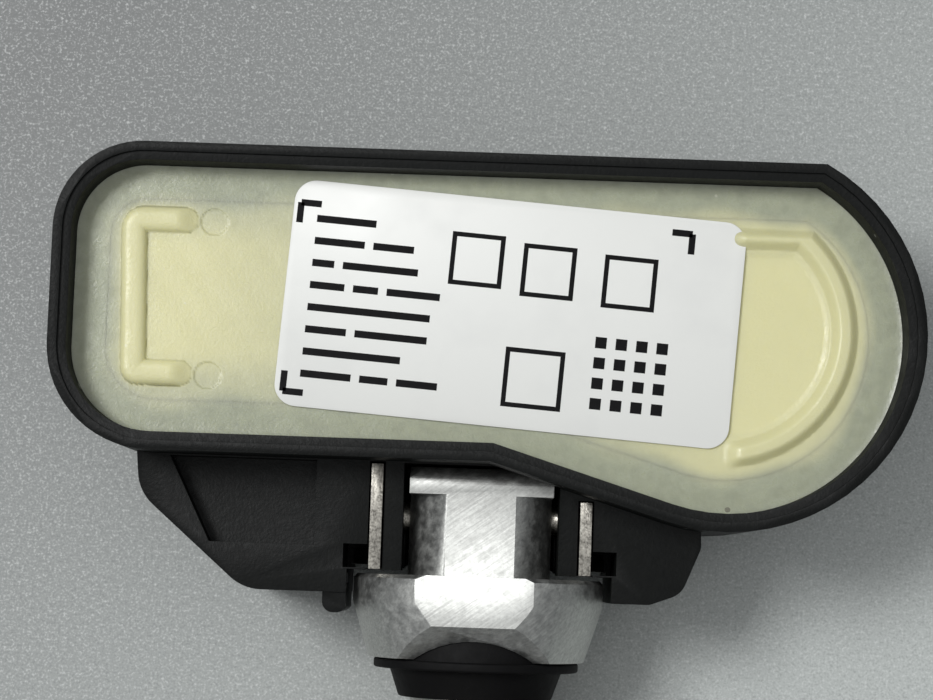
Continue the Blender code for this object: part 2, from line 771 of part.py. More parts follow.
def stem_clip():
    """A sprung U from below the cradle, whose bosses are the stem's tilt axle."""
    top = CRADLE_TOP + CLIP_PROUD
    front = PIVOT_Y - CLIP_FRONT
    back = PIVOT_Y + CLIP_BACK
    far = 2 * CLIP_OUTER
    outer, inner, base = CLIP_OUTER, CLIP_INNER, CLIP_BASE_Z
    outside = rounded_outline(
        [
            (-outer, top, 0),
            (-outer, base, CLIP_CORNER),
            (outer, base, CLIP_CORNER),
            (outer, top, 0),
            (inner, top, 0),
            (inner, base + CLIP_THICKNESS, CLIP_CORNER - CLIP_THICKNESS),
            (-inner, base + CLIP_THICKNESS, CLIP_CORNER - CLIP_THICKNESS),
            (-inner, top, 0),
        ]
    )
    clip = prism("stem_clip", [outside], -back, -front, SPRING_STEEL, place=UPRIGHT)
    leg_low = AXIS_Z - CLIP_LEG_DROP
    barb_top = AXIS_Z + BARB_RISE
    cut(
        clip,
        block("bridge_front", (-far, front - MM, -MM), (far, PIVOT_Y - BRIDGE_FRONT, leg_low)),
        block("bridge_back", (-far, PIVOT_Y + BRIDGE_BACK, -MM), (far, back + MM, leg_low)),
        block("short_leg", (0, PIVOT_Y + CLIP_SHORT_BACK, 0), (far, back + MM, top + MM)),
    )
    for side in (-1, 1):
        place = Matrix.Translation((0, PIVOT_Y, AXIS_Z)) @ ACROSS
        ends = sorted((side * (CHANNEL - CHEEK), side * (CLIP_INNER + CLIP_THICKNESS / 2)))
        join(clip, rod(f"boss_{side}", BOSS_RADIUS, *ends, place=place, sides=24))
        barb = [
            (side * (outer - BARB_ROOT), barb_top),
            (side * outer, barb_top),
            (side * (outer + BARB_OUT), barb_top - BARB_LENGTH),
            (side * (outer - BARB_ROOT), barb_top - BARB_LENGTH),
        ]
        barb_back = PIVOT_Y - 2.2 * MM
        join(clip, prism(f"barb_{side}", [barb], -barb_back, -barb_back + MM, place=UPRIGHT))
    cut(clip, swing_relief("clip_swing"))


# Valve stem and what is on it


def stem_empty():
    """An empty on the tilt axis: its Z axis runs outwards along the stem and its Y axis is up."""
    pivot = bpy.data.objects.new("stem_pivot", None)
    pivot.location = (0, PIVOT_Y, AXIS_Z)
    pivot.rotation_euler = (pi / 2, 0, 0)
    PARTS.objects.link(pivot)
    return pivot


def stem_head(pivot):
    """The flat-sided T head and its neck."""
    chamfer_start = HEAD_END + 0.8 * MM
    end = HEAD_END - 0.4 * MM
    head = turned(
        "stem_head",
        [
            (0, COLLAR_START + MM),
            (NECK_RADIUS, COLLAR_START + MM),
            (NECK_RADIUS, SHOULDER),
            (HEAD_RADIUS, SHOULDER),
            (HEAD_RADIUS, chamfer_start),
            (HEAD_RADIUS - 1.65 * MM, end),
            (0, end),
        ],
        parent=pivot,
    )
    side_view = rounded_outline(
        [
            (HEAD_END, -FLAT_HEIGHT, HEAD_ROUNDING),
            (HEAD_END, FLAT_HEIGHT, HEAD_ROUNDING),
            (COLLAR_START + 2 * MM, FLAT_HEIGHT, 0),
            (COLLAR_START + 2 * MM, -FLAT_HEIGHT, 0),
        ]
    )
    half = HEAD_WIDTH / 2
    flats = prism("head_flats", [side_view], -half, half, parent=pivot, place=SIDEWAYS)
    boolean(head, flats, "INTERSECT")
    return head


def stem_collar(pivot):
    """The coned collar with two spanner flats and the seal's cup."""
    cone_start = COLLAR_START + COLLAR_CONE_START
    end_radius = COLLAR_RADIUS - (COLLAR_END - cone_start) * tan(COLLAR_CONE)
    inside = SHANK_RADIUS - 1.2 * MM
    cup_floor = COLLAR_END - CUP_DEPTH
    collar = turned(
        "stem_collar",
        [
            (end_radius, COLLAR_END),
            (COLLAR_RADIUS, cone_start),
            (COLLAR_RADIUS, COLLAR_START + COLLAR_EDGE),
            (COLLAR_RADIUS - COLLAR_EDGE, COLLAR_START),
            (inside, COLLAR_START),
            (inside, cup_floor),
            (CUP_RADIUS, cup_floor),
            (CUP_RADIUS, COLLAR_END),
        ],
        parent=pivot,
        closed=True,
    )
    half = COLLAR_FLATS / 2
    facet = COLLAR_START + COLLAR_FACET_START
    side_view = [
        (COLLAR_START - MM, -half),
        (facet, -half),
        (facet + half, 0),
        (facet, half),
        (COLLAR_START - MM, half),
    ]
    wide = COLLAR_RADIUS + MM
    place = Matrix.Rotation(COLLAR_TURN, 4, "Z") @ SIDEWAYS
    flats = prism("collar_flats", [side_view], -wide, wide, parent=pivot, place=place)
    boolean(collar, flats, "INTERSECT")
    return collar


def valve_stem(pivot):
    shank_end = SEAL_TIP + 0.6 * MM
    stem = turned(
        "valve_stem",
        [
            (0, STEM_TIP),
            (CAP_THREAD_RADIUS - 0.3 * MM, STEM_TIP),
            (CAP_THREAD_RADIUS, STEM_TIP - 0.3 * MM),
            (CAP_THREAD_RADIUS, CAP_THREAD_START),
            (NUT_THREAD_RADIUS, CAP_THREAD_START - 0.5 * MM),
            (NUT_THREAD_RADIUS, shank_end),
            (SHANK_RADIUS, shank_end),
            (SHANK_RADIUS, COLLAR_START + 0.4 * MM),
            (0, COLLAR_START + 0.4 * MM),
        ],
        ALUMINIUM,
        pivot,
    )
    bore = turned(
        "stem_bore",
        [
            (0, STEM_TIP + MM),
            (CORE_BORE_RADIUS, STEM_TIP + MM),
            (CORE_BORE_RADIUS, STEM_TIP - CORE_BORE_DEPTH),
            (AIR_BORE_RADIUS, STEM_TIP - CORE_BORE_DEPTH - CORE_SEAT_LENGTH),
            (AIR_BORE_RADIUS, HEAD_END - MM),
            (0, HEAD_END - MM),
        ],
        parent=pivot,
        steps=32,
    )
    join(stem, stem_head(pivot), stem_collar(pivot))
    cut(stem, bore)
    hole_end = CHANNEL - CHEEK - 0.2 * MM
    for side in (-1, 1):
        ends = sorted((side * hole_end, side * HEAD_WIDTH))
        hole_radius = BOSS_RADIUS + 0.08 * MM
        cut(stem, rod(f"axle_hole_{side}", hole_radius, *ends, parent=pivot, place=ACROSS, sides=24))


def rim_seal(pivot):
    """The rubber seal between the collar and the wheel's valve hole."""
    inside = SHANK_RADIUS + FIT_GAP
    flange_start = SEAL_SEAT - SEAL_FLANGE_LENGTH
    turned(
        "rim_seal",
        [
            (SEAL_TIP_RADIUS, SEAL_TIP),
            (SEAL_NECK_RADIUS, SEAL_SEAT),
            (SEAL_FLANGE_RADIUS, SEAL_SEAT),
            (SEAL_FLANGE_RADIUS, flange_start),
            (SEAL_BASE_RADIUS, flange_start),
            (SEAL_BASE_RADIUS, COLLAR_END - CUP_DEPTH + FIT_GAP),
            (inside, COLLAR_END - CUP_DEPTH + FIT_GAP),
            (inside, SEAL_TIP),
        ],
        BLACK_RUBBER,
        pivot,
        closed=True,
    )


def washer(pivot):
    profile = ring_profile(
        NUT_THREAD_RADIUS + 2 * THREAD_GAP,
        WASHER_RADIUS,
        WASHER_START,
        WASHER_START + WASHER_THICKNESS,
    )
    turned("washer", profile, NICKEL, pivot, closed=True)


def hex_nut(pivot):
    """A hexagon with a chamfered end and a round flange."""
    end = NUT_START + NUT_LENGTH
    across_corners = NUT_FLATS / cos(pi / 6)
    flange_end = NUT_START + NUT_FLANGE_LENGTH
    nut = turned(
        "hex_nut",
        [
            (0, flange_end),
            (NUT_FLANGE_RADIUS - 0.4 * MM, flange_end),
            (NUT_FLANGE_RADIUS, flange_end - 0.8 * MM),
            (NUT_FLANGE_RADIUS, NUT_START),
            (0, NUT_START),
        ],
        NICKEL,
        pivot,
    )
    low = NUT_START + NUT_FLANGE_LENGTH / 2
    corner = across_corners / 2
    hexagon = turned(
        "nut_hexagon", [(0, end + MM), (corner, end + MM), (corner, low), (0, low)], parent=pivot, steps=6
    )
    chamfer = turned(
        "nut_chamfer",
        [(0, end), (corner - MM, end), (corner + MM, end - MM), (corner + MM, low - MM), (0, low - MM)],
        parent=pivot,
    )
    boolean(hexagon, chamfer, "INTERSECT")
    join(nut, hexagon)
    bore = NUT_THREAD_RADIUS + THREAD_GAP
    cut(nut, rod("nut_bore", bore, NUT_START - MM, end + MM, parent=pivot, sides=48))


def valve_cap(pivot):
    """The dust cap and the gasket inside its end."""
    bore = CAP_THREAD_RADIUS + THREAD_GAP
    mouth = NUT_THREAD_RADIUS + 2 * THREAD_GAP
    inner_end = STEM_TIP + CAP_GASKET_THICKNESS + 0.18 * MM
    end = inner_end + CAP_END_WALL
    start = end - CAP_LENGTH
    turned(
        "valve_cap",
        [
            (0, end),
            (CAP_RADIUS - 0.5 * MM, end),
            (CAP_RADIUS, end - 0.5 * MM),
            (CAP_RADIUS, start),
            (mouth, start),
            (mouth, CAP_THREAD_START + 0.2 * MM),
            (bore, CAP_THREAD_START + 0.2 * MM),
            (bore, inner_end),
            (0, inner_end),
        ],
        BLACK_PLASTIC,
        pivot,
        steps=36,
    )
    low = STEM_TIP + 0.08 * MM
    profile = ring_profile(
        2.2 * MM, CAP_THREAD_RADIUS - 0.15 * MM, low, low + CAP_GASKET_THICKNESS
    )
    turned("cap_gasket", profile, BLACK_RUBBER, pivot, steps=32, closed=True)


def valve_core(pivot):
    """The screwed-in core: plug, barrel, seal, pin with its cup, and the return spring."""
    plug_top = STEM_TIP - 0.7 * MM
    plug_low = plug_top - CORE_PLUG_LENGTH
    plug_radius = CORE_BORE_RADIUS - THREAD_GAP
    turned(
        "core_plug",
        ring_profile(CORE_PIN_RADIUS + 0.3 * MM, plug_radius, plug_low, plug_top),
        BRASS,
        pivot,
        steps=24,
        closed=True,
    )
    barrel_top = plug_low - FIT_GAP
    barrel_low = STEM_TIP - CORE_BORE_DEPTH - FIT_GAP
    floor = barrel_low + 0.3 * MM
    turned(
        "core_barrel",
        [
            (CORE_BARREL_RADIUS, barrel_top),
            (CORE_BARREL_RADIUS, floor),
            (CORE_BARREL_RADIUS - 0.4 * MM, barrel_low),
            (CORE_PIN_RADIUS + 0.2 * MM, barrel_low),
            (CORE_PIN_RADIUS + 0.2 * MM, floor),
            (CORE_BARREL_BORE, floor),
            (CORE_BARREL_BORE, barrel_top),
        ],
        BRASS,
        pivot,
        steps=24,
        closed=True,
    )
    seal_low = floor + 0.3 * MM
    profile = ring_profile(CORE_BARREL_RADIUS + 0.05 * MM, plug_radius, seal_low, seal_low + MM)
    turned("core_seal_ring", profile, BLACK_RUBBER, pivot, steps=24, closed=True)
    collar_top = barrel_top - 0.3 * MM
    collar_low = collar_top - 0.3 * MM
    pin_low = barrel_low - CORE_PIN_TAIL
    pin_top = plug_top + 0.4 * MM
    radius = CORE_PIN_RADIUS
    turned(
        "core_pin",
        [
            (0, pin_top),
            (radius + 0.15 * MM, pin_top),
            (radius + 0.15 * MM, pin_top - 0.8 * MM),
            (radius, pin_top - 0.8 * MM),
            (radius, collar_top),
            (CORE_BARREL_BORE - 0.25 * MM, collar_top),
            (CORE_BARREL_BORE - 0.25 * MM, collar_low),
            (radius, collar_low),
            (radius, pin_low),
            (0, pin_low),
        ],
        BRASS,
        pivot,
        steps=16,
    )
    cup_low = pin_low + 0.4 * MM
    cup_radius = AIR_BORE_RADIUS - 0.15 * MM
    profile = ring_profile(radius + 0.05 * MM, cup_radius, cup_low, cup_low + CORE_CUP_LENGTH)
    turned("core_cup", profile, BLACK_RUBBER, pivot, steps=20, closed=True)
    core_spring(pivot, floor + 0.1 * MM, collar_low - 0.1 * MM)


def core_spring(pivot, low, high):
    """A coil round the pin, between the barrel's floor and the pin's collar."""
    wire = SPRING_WIRE / 2
    low, high = low + wire, high - wire
    per_turn = 10
    count = SPRING_TURNS * per_turn
    curve = bpy.data.curves.new("core_spring", "CURVE")
    curve.dimensions = "3D"
    curve.bevel_depth = wire
    curve.bevel_resolution = 1
    curve.use_fill_caps = True
    spline = curve.splines.new("POLY")
    spline.points.add(count)
    for i, point in enumerate(spline.points):
        angle = 2 * pi * i / per_turn
        height = low + (high - low) * i / count
        point.co = (SPRING_RADIUS * cos(angle), SPRING_RADIUS * sin(angle), height, 1)
    add_object("core_spring", mesh_from_curve(curve, "core_spring"), SPRING_STEEL, pivot)


# Electronics


def circuit_board():
    left = LEFT_END + INNER_WALL + 0.3 * MM
    half = BODY_HALF_WIDTH - INNER_WALL - 0.6 * MM
    back_radius = BACK_CORNER_RADIUS - INNER_WALL
    front_radius = FRONT_CORNER_RADIUS - INNER_WALL
    outline = rounded_outline(
        [
            (left, half, back_radius),
            (BOARD_END_X, half, 0.5 * MM),
            (BOARD_END_X, -half, 0.5 * MM),
            (left, -half, front_radius),
        ]
    )
    prism("circuit_board", [outline], BOARD_Z, BOARD_TOP, BOARD_GREEN)


def cell_frame():
    centre = bpy.data.objects.new("cell_centre", None)
    centre.location = (*ROUND_CENTRE, 0)
    PARTS.objects.link(centre)
    return centre


def coin_cell():
    """The can, the cap that closes it from below, and the grommet between them."""
    centre = cell_frame()
    top = CELL_Z + CELL_HEIGHT
    mouth = CELL_RADIUS - 0.8 * MM
    recess = CELL_Z + 0.8 * MM
    turned(
        "cell_can",
        [
            (0, top),
            (CELL_RADIUS - 0.4 * MM, top),
            (CELL_RADIUS, top - 0.4 * MM),
            (CELL_RADIUS, CELL_Z + 0.3 * MM),
            (CELL_RADIUS - 0.3 * MM, CELL_Z),
            (mouth, CELL_Z),
            (mouth, recess),
            (0, recess),
        ],
        NICKEL,
        centre,
    )
    part_top = recess - FIT_GAP
    cap_radius = mouth - 0.7 * MM
    profile = [(0, part_top), (cap_radius, part_top), (cap_radius, CELL_Z), (0, CELL_Z)]
    turned("cell_cap", profile, NICKEL, centre, steps=40)
    profile = ring_profile(cap_radius + FIT_GAP, mouth - FIT_GAP, CELL_Z + 0.05 * MM, part_top)
    turned("cell_grommet", profile, BLACK_RUBBER, centre, steps=40, closed=True)


def tab(name, reach_x, flat_z, foot_z):
    """A stepped strip from the middle of the cell to the board's end."""
    step_x = ROUND_CENTRE.x - CELL_RADIUS - 0.6 * MM
    foot_x = BOARD_END_X - 1.8 * MM
    thick = TAB_THICKNESS if flat_z > foot_z else -TAB_THICKNESS
    outline = [
        (reach_x, flat_z),
        (reach_x, flat_z + thick),
        (step_x - TAB_THICKNESS, flat_z + thick),
        (step_x - TAB_THICKNESS, foot_z + thick),
        (foot_x, foot_z + thick),
        (foot_x, foot_z),
        (step_x, foot_z),
        (step_x, flat_z),
    ]
    half = TAB_WIDTH / 2
    place = Matrix.Translation((0, ROUND_CENTRE.y, 0)) @ UPRIGHT
    prism(name, [outline], -half, half, NICKEL, place=place)


def tabs():
    reach = ROUND_CENTRE.x - 3.0 * MM
    tab("positive_tab", reach, CELL_Z + CELL_HEIGHT + FIT_GAP, BOARD_TOP + FIT_GAP)
    tab("negative_tab", reach, CELL_Z - FIT_GAP, BOARD_Z - FIT_GAP)


def pressure_port():
    """The sensor chip under the board, its gasket on the floor, and the filter outside."""
    half = CHIP_SIZE / 2
    x, y = PORT
    chip_top = BOARD_Z - FIT_GAP
    chip_low = chip_top - CHIP_HEIGHT
    block(
        "sensor_chip", (x - half, y - half, chip_low), (x + half, y + half, chip_top), CHIP_BLACK
    )
    centre = bpy.data.objects.new("port_centre", None)
    centre.location = (x, y, 0)
    PARTS.objects.link(centre)
    profile = ring_profile(1.2 * MM, 2.2 * MM, FLOOR + 0.05 * MM, chip_low - 0.05 * MM)
    turned("port_gasket", profile, BLACK_RUBBER, centre, steps=24, closed=True)
    rod("port_filter", FILTER_RADIUS, FIT_GAP, FIT_GAP + FILTER_THICKNESS, FILTER_WHITE, centre)


def lf_coil():
    """The wake-up coil: a ferrite bobbin and its winding."""
    x, y = COIL_CENTRE
    low = BOARD_TOP + FIT_GAP
    half_x, half_y = COIL_SIZE[0] / 2, COIL_SIZE[1] / 2
    high = low + COIL_SIZE[2]
    end = 1.6 * MM
    neck = 0.7 * MM
    core = block(
        "lf_coil_core", (x - half_x, y - half_y, low), (x - half_x + end, y + half_y, high), FERRITE
    )
    inner = 0.2 * MM
    join(
        core,
        block("coil_end", (x + half_x - end, y - half_y, low), (x + half_x, y + half_y, high)),
        block(
            "coil_neck",
            (x - half_x + inner, y - half_y + neck, low + neck),
            (x + half_x - inner, y + half_y - neck, high - neck),
        ),
    )
    reach = half_x - end - FIT_GAP
    winding = block(
        "lf_coil_winding",
        (x - reach, y - half_y + FIT_GAP, low + FIT_GAP),
        (x + reach, y + half_y - FIT_GAP, high - FIT_GAP),
        COPPER,
        rounding=0.25 * MM,
    )
    hole = neck - FIT_GAP
    cut(
        winding,
        block(
            "winding_hole",
            (x - half_x, y - half_y + hole, low + hole),
            (x + half_x, y + half_y - hole, high - hole),
        ),
    )


def antenna_loop():
    """A wire hoop over the board with both feet on it."""
    wire = ANTENNA_WIRE / 2
    side = BODY_HALF_WIDTH - INNER_WALL - 1.4 * MM
    left = LEFT_END + INNER_WALL + 2.7 * MM
    right = BOARD_END_X - 1.1 * MM
    bend = 2.0 * MM
    foot = BOARD_TOP + FIT_GAP
    across = [
        *arc((right - bend, side - bend), bend, pi / 2, 0),
        *arc((right - bend, -side + bend), bend, 0, -pi / 2),
    ]
    level = [(left, side), *across, (left, -side)]
    path = [(left, side, foot), *((x, y, ANTENNA_Z) for x, y in level), (left, -side, foot)]
    curve = bpy.data.curves.new("antenna_loop", "CURVE")
    curve.dimensions = "3D"
    curve.bevel_depth = wire
    curve.bevel_resolution = 2
    curve.use_fill_caps = True
    spline = curve.splines.new("POLY")
    spline.points.add(len(path) - 1)
    for point, place in zip(spline.points, path):
        point.co = (*place, 1)
    add_object("antenna_loop", mesh_from_curve(curve, "antenna_loop"), COPPER)


def chips():
    """The small parts on the board's top, in rows."""
    low = BOARD_TOP + FIT_GAP
    left = LEFT_END + 8.0 * MM
    rows = (
        ("crystal", 1, (left, 3.0 * MM), (3.2, 2.5, 0.8), NICKEL),
        ("inductor", 2, (left, -1.0 * MM), (2.0, 1.6, 1.2), CHIP_BLACK),
        ("capacitor", 4, (left + 2.0 * MM, -4.4 * MM), (1.6, 0.9, 0.9), CERAMIC),
        ("resistor", 3, (left + 7.0 * MM, -1.5 * MM), (1.6, 0.9, 0.5), CHIP_BLACK),
    )
    for kind, count, (x, y), size, recipe in rows:
        half = Vector(size) * MM / 2
        for number in range(count):
            here = Vector((x + number * 3.4 * MM, y, low + half.z))
            name = f"{kind}_{number + 1}" if count > 1 else kind
            block(name, here - half, here + half, recipe)


def main():
    housing()
    cover()
    stem_clip()
    pivot = stem_empty()
    valve_stem(pivot)
    rim_seal(pivot)
    washer(pivot)
    hex_nut(pivot)
    valve_cap(pivot)
    valve_core(pivot)
    circuit_board()
    coin_cell()
    tabs()
    pressure_port()
    lf_coil()
    antenna_loop()
    chips()


main()
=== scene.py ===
"""Looks of a clamp-in wheel pressure sensor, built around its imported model.

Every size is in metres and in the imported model's frame: X along the housing, the valve stem
towards -Y and Z up out of the housing's open top.
"""

import json
import logging
from dataclasses import dataclass, field
from enum import Enum
from math import asin, atan2, cos, pi, radians, sin, sqrt, tan
from typing import Optional, Sequence

import bmesh
import bpy
import numpy as np
from mathutils import Matrix, Vector


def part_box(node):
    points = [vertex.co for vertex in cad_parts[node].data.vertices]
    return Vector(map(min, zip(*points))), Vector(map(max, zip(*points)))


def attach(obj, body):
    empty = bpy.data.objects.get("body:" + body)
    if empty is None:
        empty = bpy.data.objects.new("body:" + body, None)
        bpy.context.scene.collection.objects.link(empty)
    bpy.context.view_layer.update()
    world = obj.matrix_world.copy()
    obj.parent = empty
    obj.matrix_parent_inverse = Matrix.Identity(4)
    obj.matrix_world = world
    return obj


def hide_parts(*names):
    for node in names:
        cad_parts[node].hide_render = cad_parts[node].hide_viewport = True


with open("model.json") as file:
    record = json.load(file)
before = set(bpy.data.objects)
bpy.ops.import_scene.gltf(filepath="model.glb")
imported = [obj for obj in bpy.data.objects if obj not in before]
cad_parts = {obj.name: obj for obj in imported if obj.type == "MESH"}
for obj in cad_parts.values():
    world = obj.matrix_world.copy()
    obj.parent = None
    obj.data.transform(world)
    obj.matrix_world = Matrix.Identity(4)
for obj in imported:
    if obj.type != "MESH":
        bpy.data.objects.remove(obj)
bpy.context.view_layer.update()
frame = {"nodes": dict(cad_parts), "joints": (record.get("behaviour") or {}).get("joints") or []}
LOG = logging.getLogger("wheel_sensor")
MM = 0.001
THREAD_PITCH = 0.794 * MM
AXIS_RADIUS = 0.02 * MM  # a turned piece ends this far from its axis, so that no faces collapse
Array = np.ndarray
Faces = Array | list[list[int]]
Colour = tuple[float, float, float]
Box = tuple[float, float, float, float]


# Meshes from numpy grids


def mesh_piece(name: str, points: Array, faces: Faces, smooth: bool = True) -> bpy.types.Object:
    """Puts points and faces into a new object.

    Args:
        name: the piece's name.
        points: an (n, 3) array of places.
        faces: an (m, 4) array or lists of point numbers, each face counter-clockwise from outside.
        smooth: whether the faces are shaded smooth.

    Returns:
        The linked object, with collapsed quads dissolved and doubles merged.
    """
    mesh = bpy.data.meshes.new(name)
    mesh.from_pydata(points.tolist(), [], faces.tolist() if isinstance(faces, Array) else faces)
    shape = bmesh.new()
    shape.from_mesh(mesh)
    bmesh.ops.remove_doubles(shape, verts=shape.verts, dist=1e-7)
    bmesh.ops.dissolve_degenerate(shape, dist=1e-8, edges=shape.edges)
    bmesh.ops.recalc_face_normals(shape, faces=shape.faces)
    shape.to_mesh(mesh)
    shape.free()
    mesh.polygons.foreach_set("use_smooth", np.full(len(mesh.polygons), smooth))
    made = bpy.data.objects.new(name, mesh)
    bpy.context.scene.collection.objects.link(made)
    return made


def grid_faces(rows: int, columns: int, wrap_rows: bool, wrap_columns: bool) -> Array:
    """Quads between neighbouring points of a grid that is stored row by row.

    Args:
        rows: how many rows of points there are.
        columns: how many points each row has.
        wrap_rows: whether the last row joins the first.
        wrap_columns: whether each row is a closed loop.

    Returns:
        An (m, 4) array of point numbers.
    """
    row = np.arange(rows if wrap_rows else rows - 1)[:, None]
    column = np.arange(columns if wrap_columns else columns - 1)[None, :]
    next_row = (row + 1) % rows
    next_column = (column + 1) % columns
    corners = [
        row * columns + column,
        row * columns + next_column,
        next_row * columns + next_column,
        next_row * columns + column,
    ]
    return np.stack([np.broadcast_to(c, (row.size, column.size)) for c in corners], -1).reshape(-1, 4)


def lathe_points(profile: Array, steps: int) -> Array:
    """Turns a profile about the stem's axis: (radius, distance) becomes a ring in X and Z at -Y.

    Args:
        profile: an (n, 2) array of radius and distance outwards from the tilt axis.
        steps: points around.

    Returns:
        An (n, steps, 3) array of places.
    """
    turn = np.linspace(0, 2 * pi, steps, endpoint=False)
    radius, reach = profile[:, 0, None], profile[:, 1, None]
    x = radius * np.cos(turn)
    z = STEM.axis_z + radius * np.sin(turn)
    y = STEM.pivot_y - np.broadcast_to(reach, x.shape)
    return np.stack([x, y, z], -1)


def rounded_profile(corners: Sequence[tuple[float, float, float]], closed: bool = True) -> Array:
    """Replaces each (a, b, radius) corner of a line by a short arc of that radius.

    Args:
        corners: the corners in order; a radius of 0 keeps one sharp.
        closed: whether the last corner joins the first.

    Returns:
        An (n, 2) array of points.
    """
    points: list[Vector] = []
    count = len(corners)
    for i, (a, b, radius) in enumerate(corners):
        here = Vector((a, b))
        if radius <= 0 or (not closed and i in (0, count - 1)):
            points.append(here)
            continue
        before = (Vector(corners[i - 1][:2]) - here).normalized()
        after = (Vector(corners[(i + 1) % count][:2]) - here).normalized()
        half = before.angle(after) / 2
        middle = here + (before + after).normalized() * (radius / sin(half))
        first = here + before * (radius / tan(half)) - middle
        last = here + after * (radius / tan(half)) - middle
        start = atan2(first.y, first.x)
        sweep = (atan2(last.y, last.x) - start + pi) % (2 * pi) - pi
        for step in range(5):
            angle = start + sweep * step / 4
            points.append(middle + Vector((cos(angle), sin(angle))) * radius)
    return np.array([tuple(p) for p in points])


def softened_copy(node: str, width: float, segments: int = 2, angle: float = 30) -> bpy.types.Object:
    """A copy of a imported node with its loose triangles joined, flat faces merged and edges rounded.

    Args:
        node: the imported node's name.
        width: the rounding's width.
        segments: the rounding's steps.
        angle: the least angle in degrees that counts as an edge.

    Returns:
        The new object, whose rounding is a live modifier.
    """
    shape = bmesh.new()
    shape.from_mesh(frame["nodes"][node].data)
    bmesh.ops.remove_doubles(shape, verts=shape.verts, dist=2e-6)
    bmesh.ops.dissolve_limit(
        shape, angle_limit=radians(1.0), verts=shape.verts, edges=shape.edges
    )
    mesh = bpy.data.meshes.new(f"{node}_soft")
    shape.to_mesh(mesh)
    shape.free()
    mesh.shade_smooth()
    made = bpy.data.objects.new(f"{node}_soft", mesh)
    bpy.context.scene.collection.objects.link(made)
    rounding = made.modifiers.new("edge rounding", "BEVEL")
    rounding.width = width
    rounding.segments = segments
    rounding.limit_method = "ANGLE"
    rounding.angle_limit = radians(angle)
    rounding.harden_normals = True
    rounding.use_clamp_overlap = True
    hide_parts(node)
    return made


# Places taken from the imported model


@dataclass(frozen=True)
class StemPlaces:
    """Where the valve stem and what is on it lie, as distances outwards from the tilt axis."""

    pivot_y: float
    axis_z: float

    def reach(self, node: str) -> tuple[float, float]:
        """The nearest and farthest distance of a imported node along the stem.

        Args:
            node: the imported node's name.

        Returns:
            Its start and its end.
        """
        low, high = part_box(node)
        return self.pivot_y - high.y, self.pivot_y - low.y

    def radius(self, node: str) -> float:
        """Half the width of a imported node.

        Args:
            node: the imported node's name.

        Returns:
            Its radius.
        """
        low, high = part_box(node)
        return (high.x - low.x) / 2


def tilt_axis() -> StemPlaces:
    """Reads the tilt joint's place."""
    joint = next(j for j in frame["joints"] if j["name"] == "stem_tilt")
    return StemPlaces(joint["pos_m"][1], joint["pos_m"][2])


STEM = tilt_axis()


@dataclass(frozen=True)
class HousingOutline:
    """The housing seen from above: a straight left part that flares into a round right end."""

    left: float
    right: float
    half_width: float
    round_radius: float
    round_y: float
    flare_x: float
    back_corner: float
    front_corner: float

    def points(self, inset: float, spacing: float = 0.25 * MM) -> Array:
        """The outline moved inwards, counter-clockwise from above.

        Args:
            inset: how far inwards.
            spacing: about how far apart the points lie.

        Returns:
            An (n, 2) array whose n is the same for every inset.
        """
        half = self.half_width - inset
        radius = self.round_radius - inset
        centre = Vector((self.right - self.round_radius, self.round_y))
        to_centre = centre - Vector((self.flare_x, -self.half_width))
        flare = asin(self.round_radius / to_centre.length) - atan2(to_centre.y, to_centre.x)
        touch_angle = -pi / 2 - flare
        touch = centre + Vector((cos(touch_angle), sin(touch_angle))) * radius
        turn_x = touch.x + (touch.y + half) / tan(flare)
        rise = half - centre.y
        top_angle = atan2(rise, sqrt(radius**2 - rise**2))
        back, front = self.back_corner - inset, self.front_corner - inset
        left = self.left + inset
        pieces = [
            self._arc(centre, radius, touch_angle, top_angle, spacing, self.round_radius),
            self._line(
                (centre.x + radius * cos(top_angle), half), (left + back, half), spacing, 36 * MM
            ),
            self._arc((left + back, half - back), back, pi / 2, pi, spacing, self.back_corner),
            self._line((left, half - back), (left, -half + front), spacing, 8 * MM),
            self._arc((left + front, -half + front), front, pi, 1.5 * pi, spacing, self.front_corner),
            self._line((left + front, -half), (turn_x, -half), spacing, 22 * MM),
            self._line((turn_x, -half), touch, spacing, 10 * MM),
        ]
        return np.concatenate([piece[:-1] for piece in pieces])

    @staticmethod
    def _arc(
        centre: Sequence[float], radius: float, start: float, end: float, spacing: float, full: float
    ) -> Array:
        """Points on an arc; their count follows the arc's full radius, so that it never changes.

        Args:
            centre: the arc's centre.
            radius: its radius here.
            start: its first angle.
            end: its last angle.
            spacing: about how far apart the points lie on the full arc.
            full: the radius of the arc before it is moved inwards.

        Returns:
            An (n, 2) array.
        """
        count = max(4, round(abs(end - start) * full / spacing))
        if abs(end - start) > pi / 2 + 0.01:
            count = round(3.1 * full / spacing)
        angle = np.linspace(start, end, count)
        return np.stack([centre[0] + radius * np.cos(angle), centre[1] + radius * np.sin(angle)], -1)

    @staticmethod
    def _line(start: Sequence[float], end: Sequence[float], spacing: float, full: float) -> Array:
        """Evenly spaced points on a line; their count follows a nominal full length.

        Args:
            start: the line's first end.
            end: its last end.
            spacing: about how far apart the points lie on a line of the full length.
            full: the nominal length.

        Returns:
            An (n, 2) array.
        """
        share = np.linspace(0, 1, max(2, round(full / spacing)))[:, None]
        return (1 - share) * np.array(tuple(start)[:2]) + share * np.array(tuple(end)[:2])

    def depth_inside(self, places: Array) -> Array:
        """The distance of each place from the outline, worked out in blocks.

        Args:
            places: an (n, 2) array.

        Returns:
            The n distances.
        """
        edge = self.points(0.0)
        found = np.empty(len(places))
        step = 4000
        for start in range(0, len(places), step):
            gap = places[start : start + step, None, :] - edge[None, :, :]
            found[start : start + step] = np.sqrt((gap**2).sum(-1)).min(1)
        return found


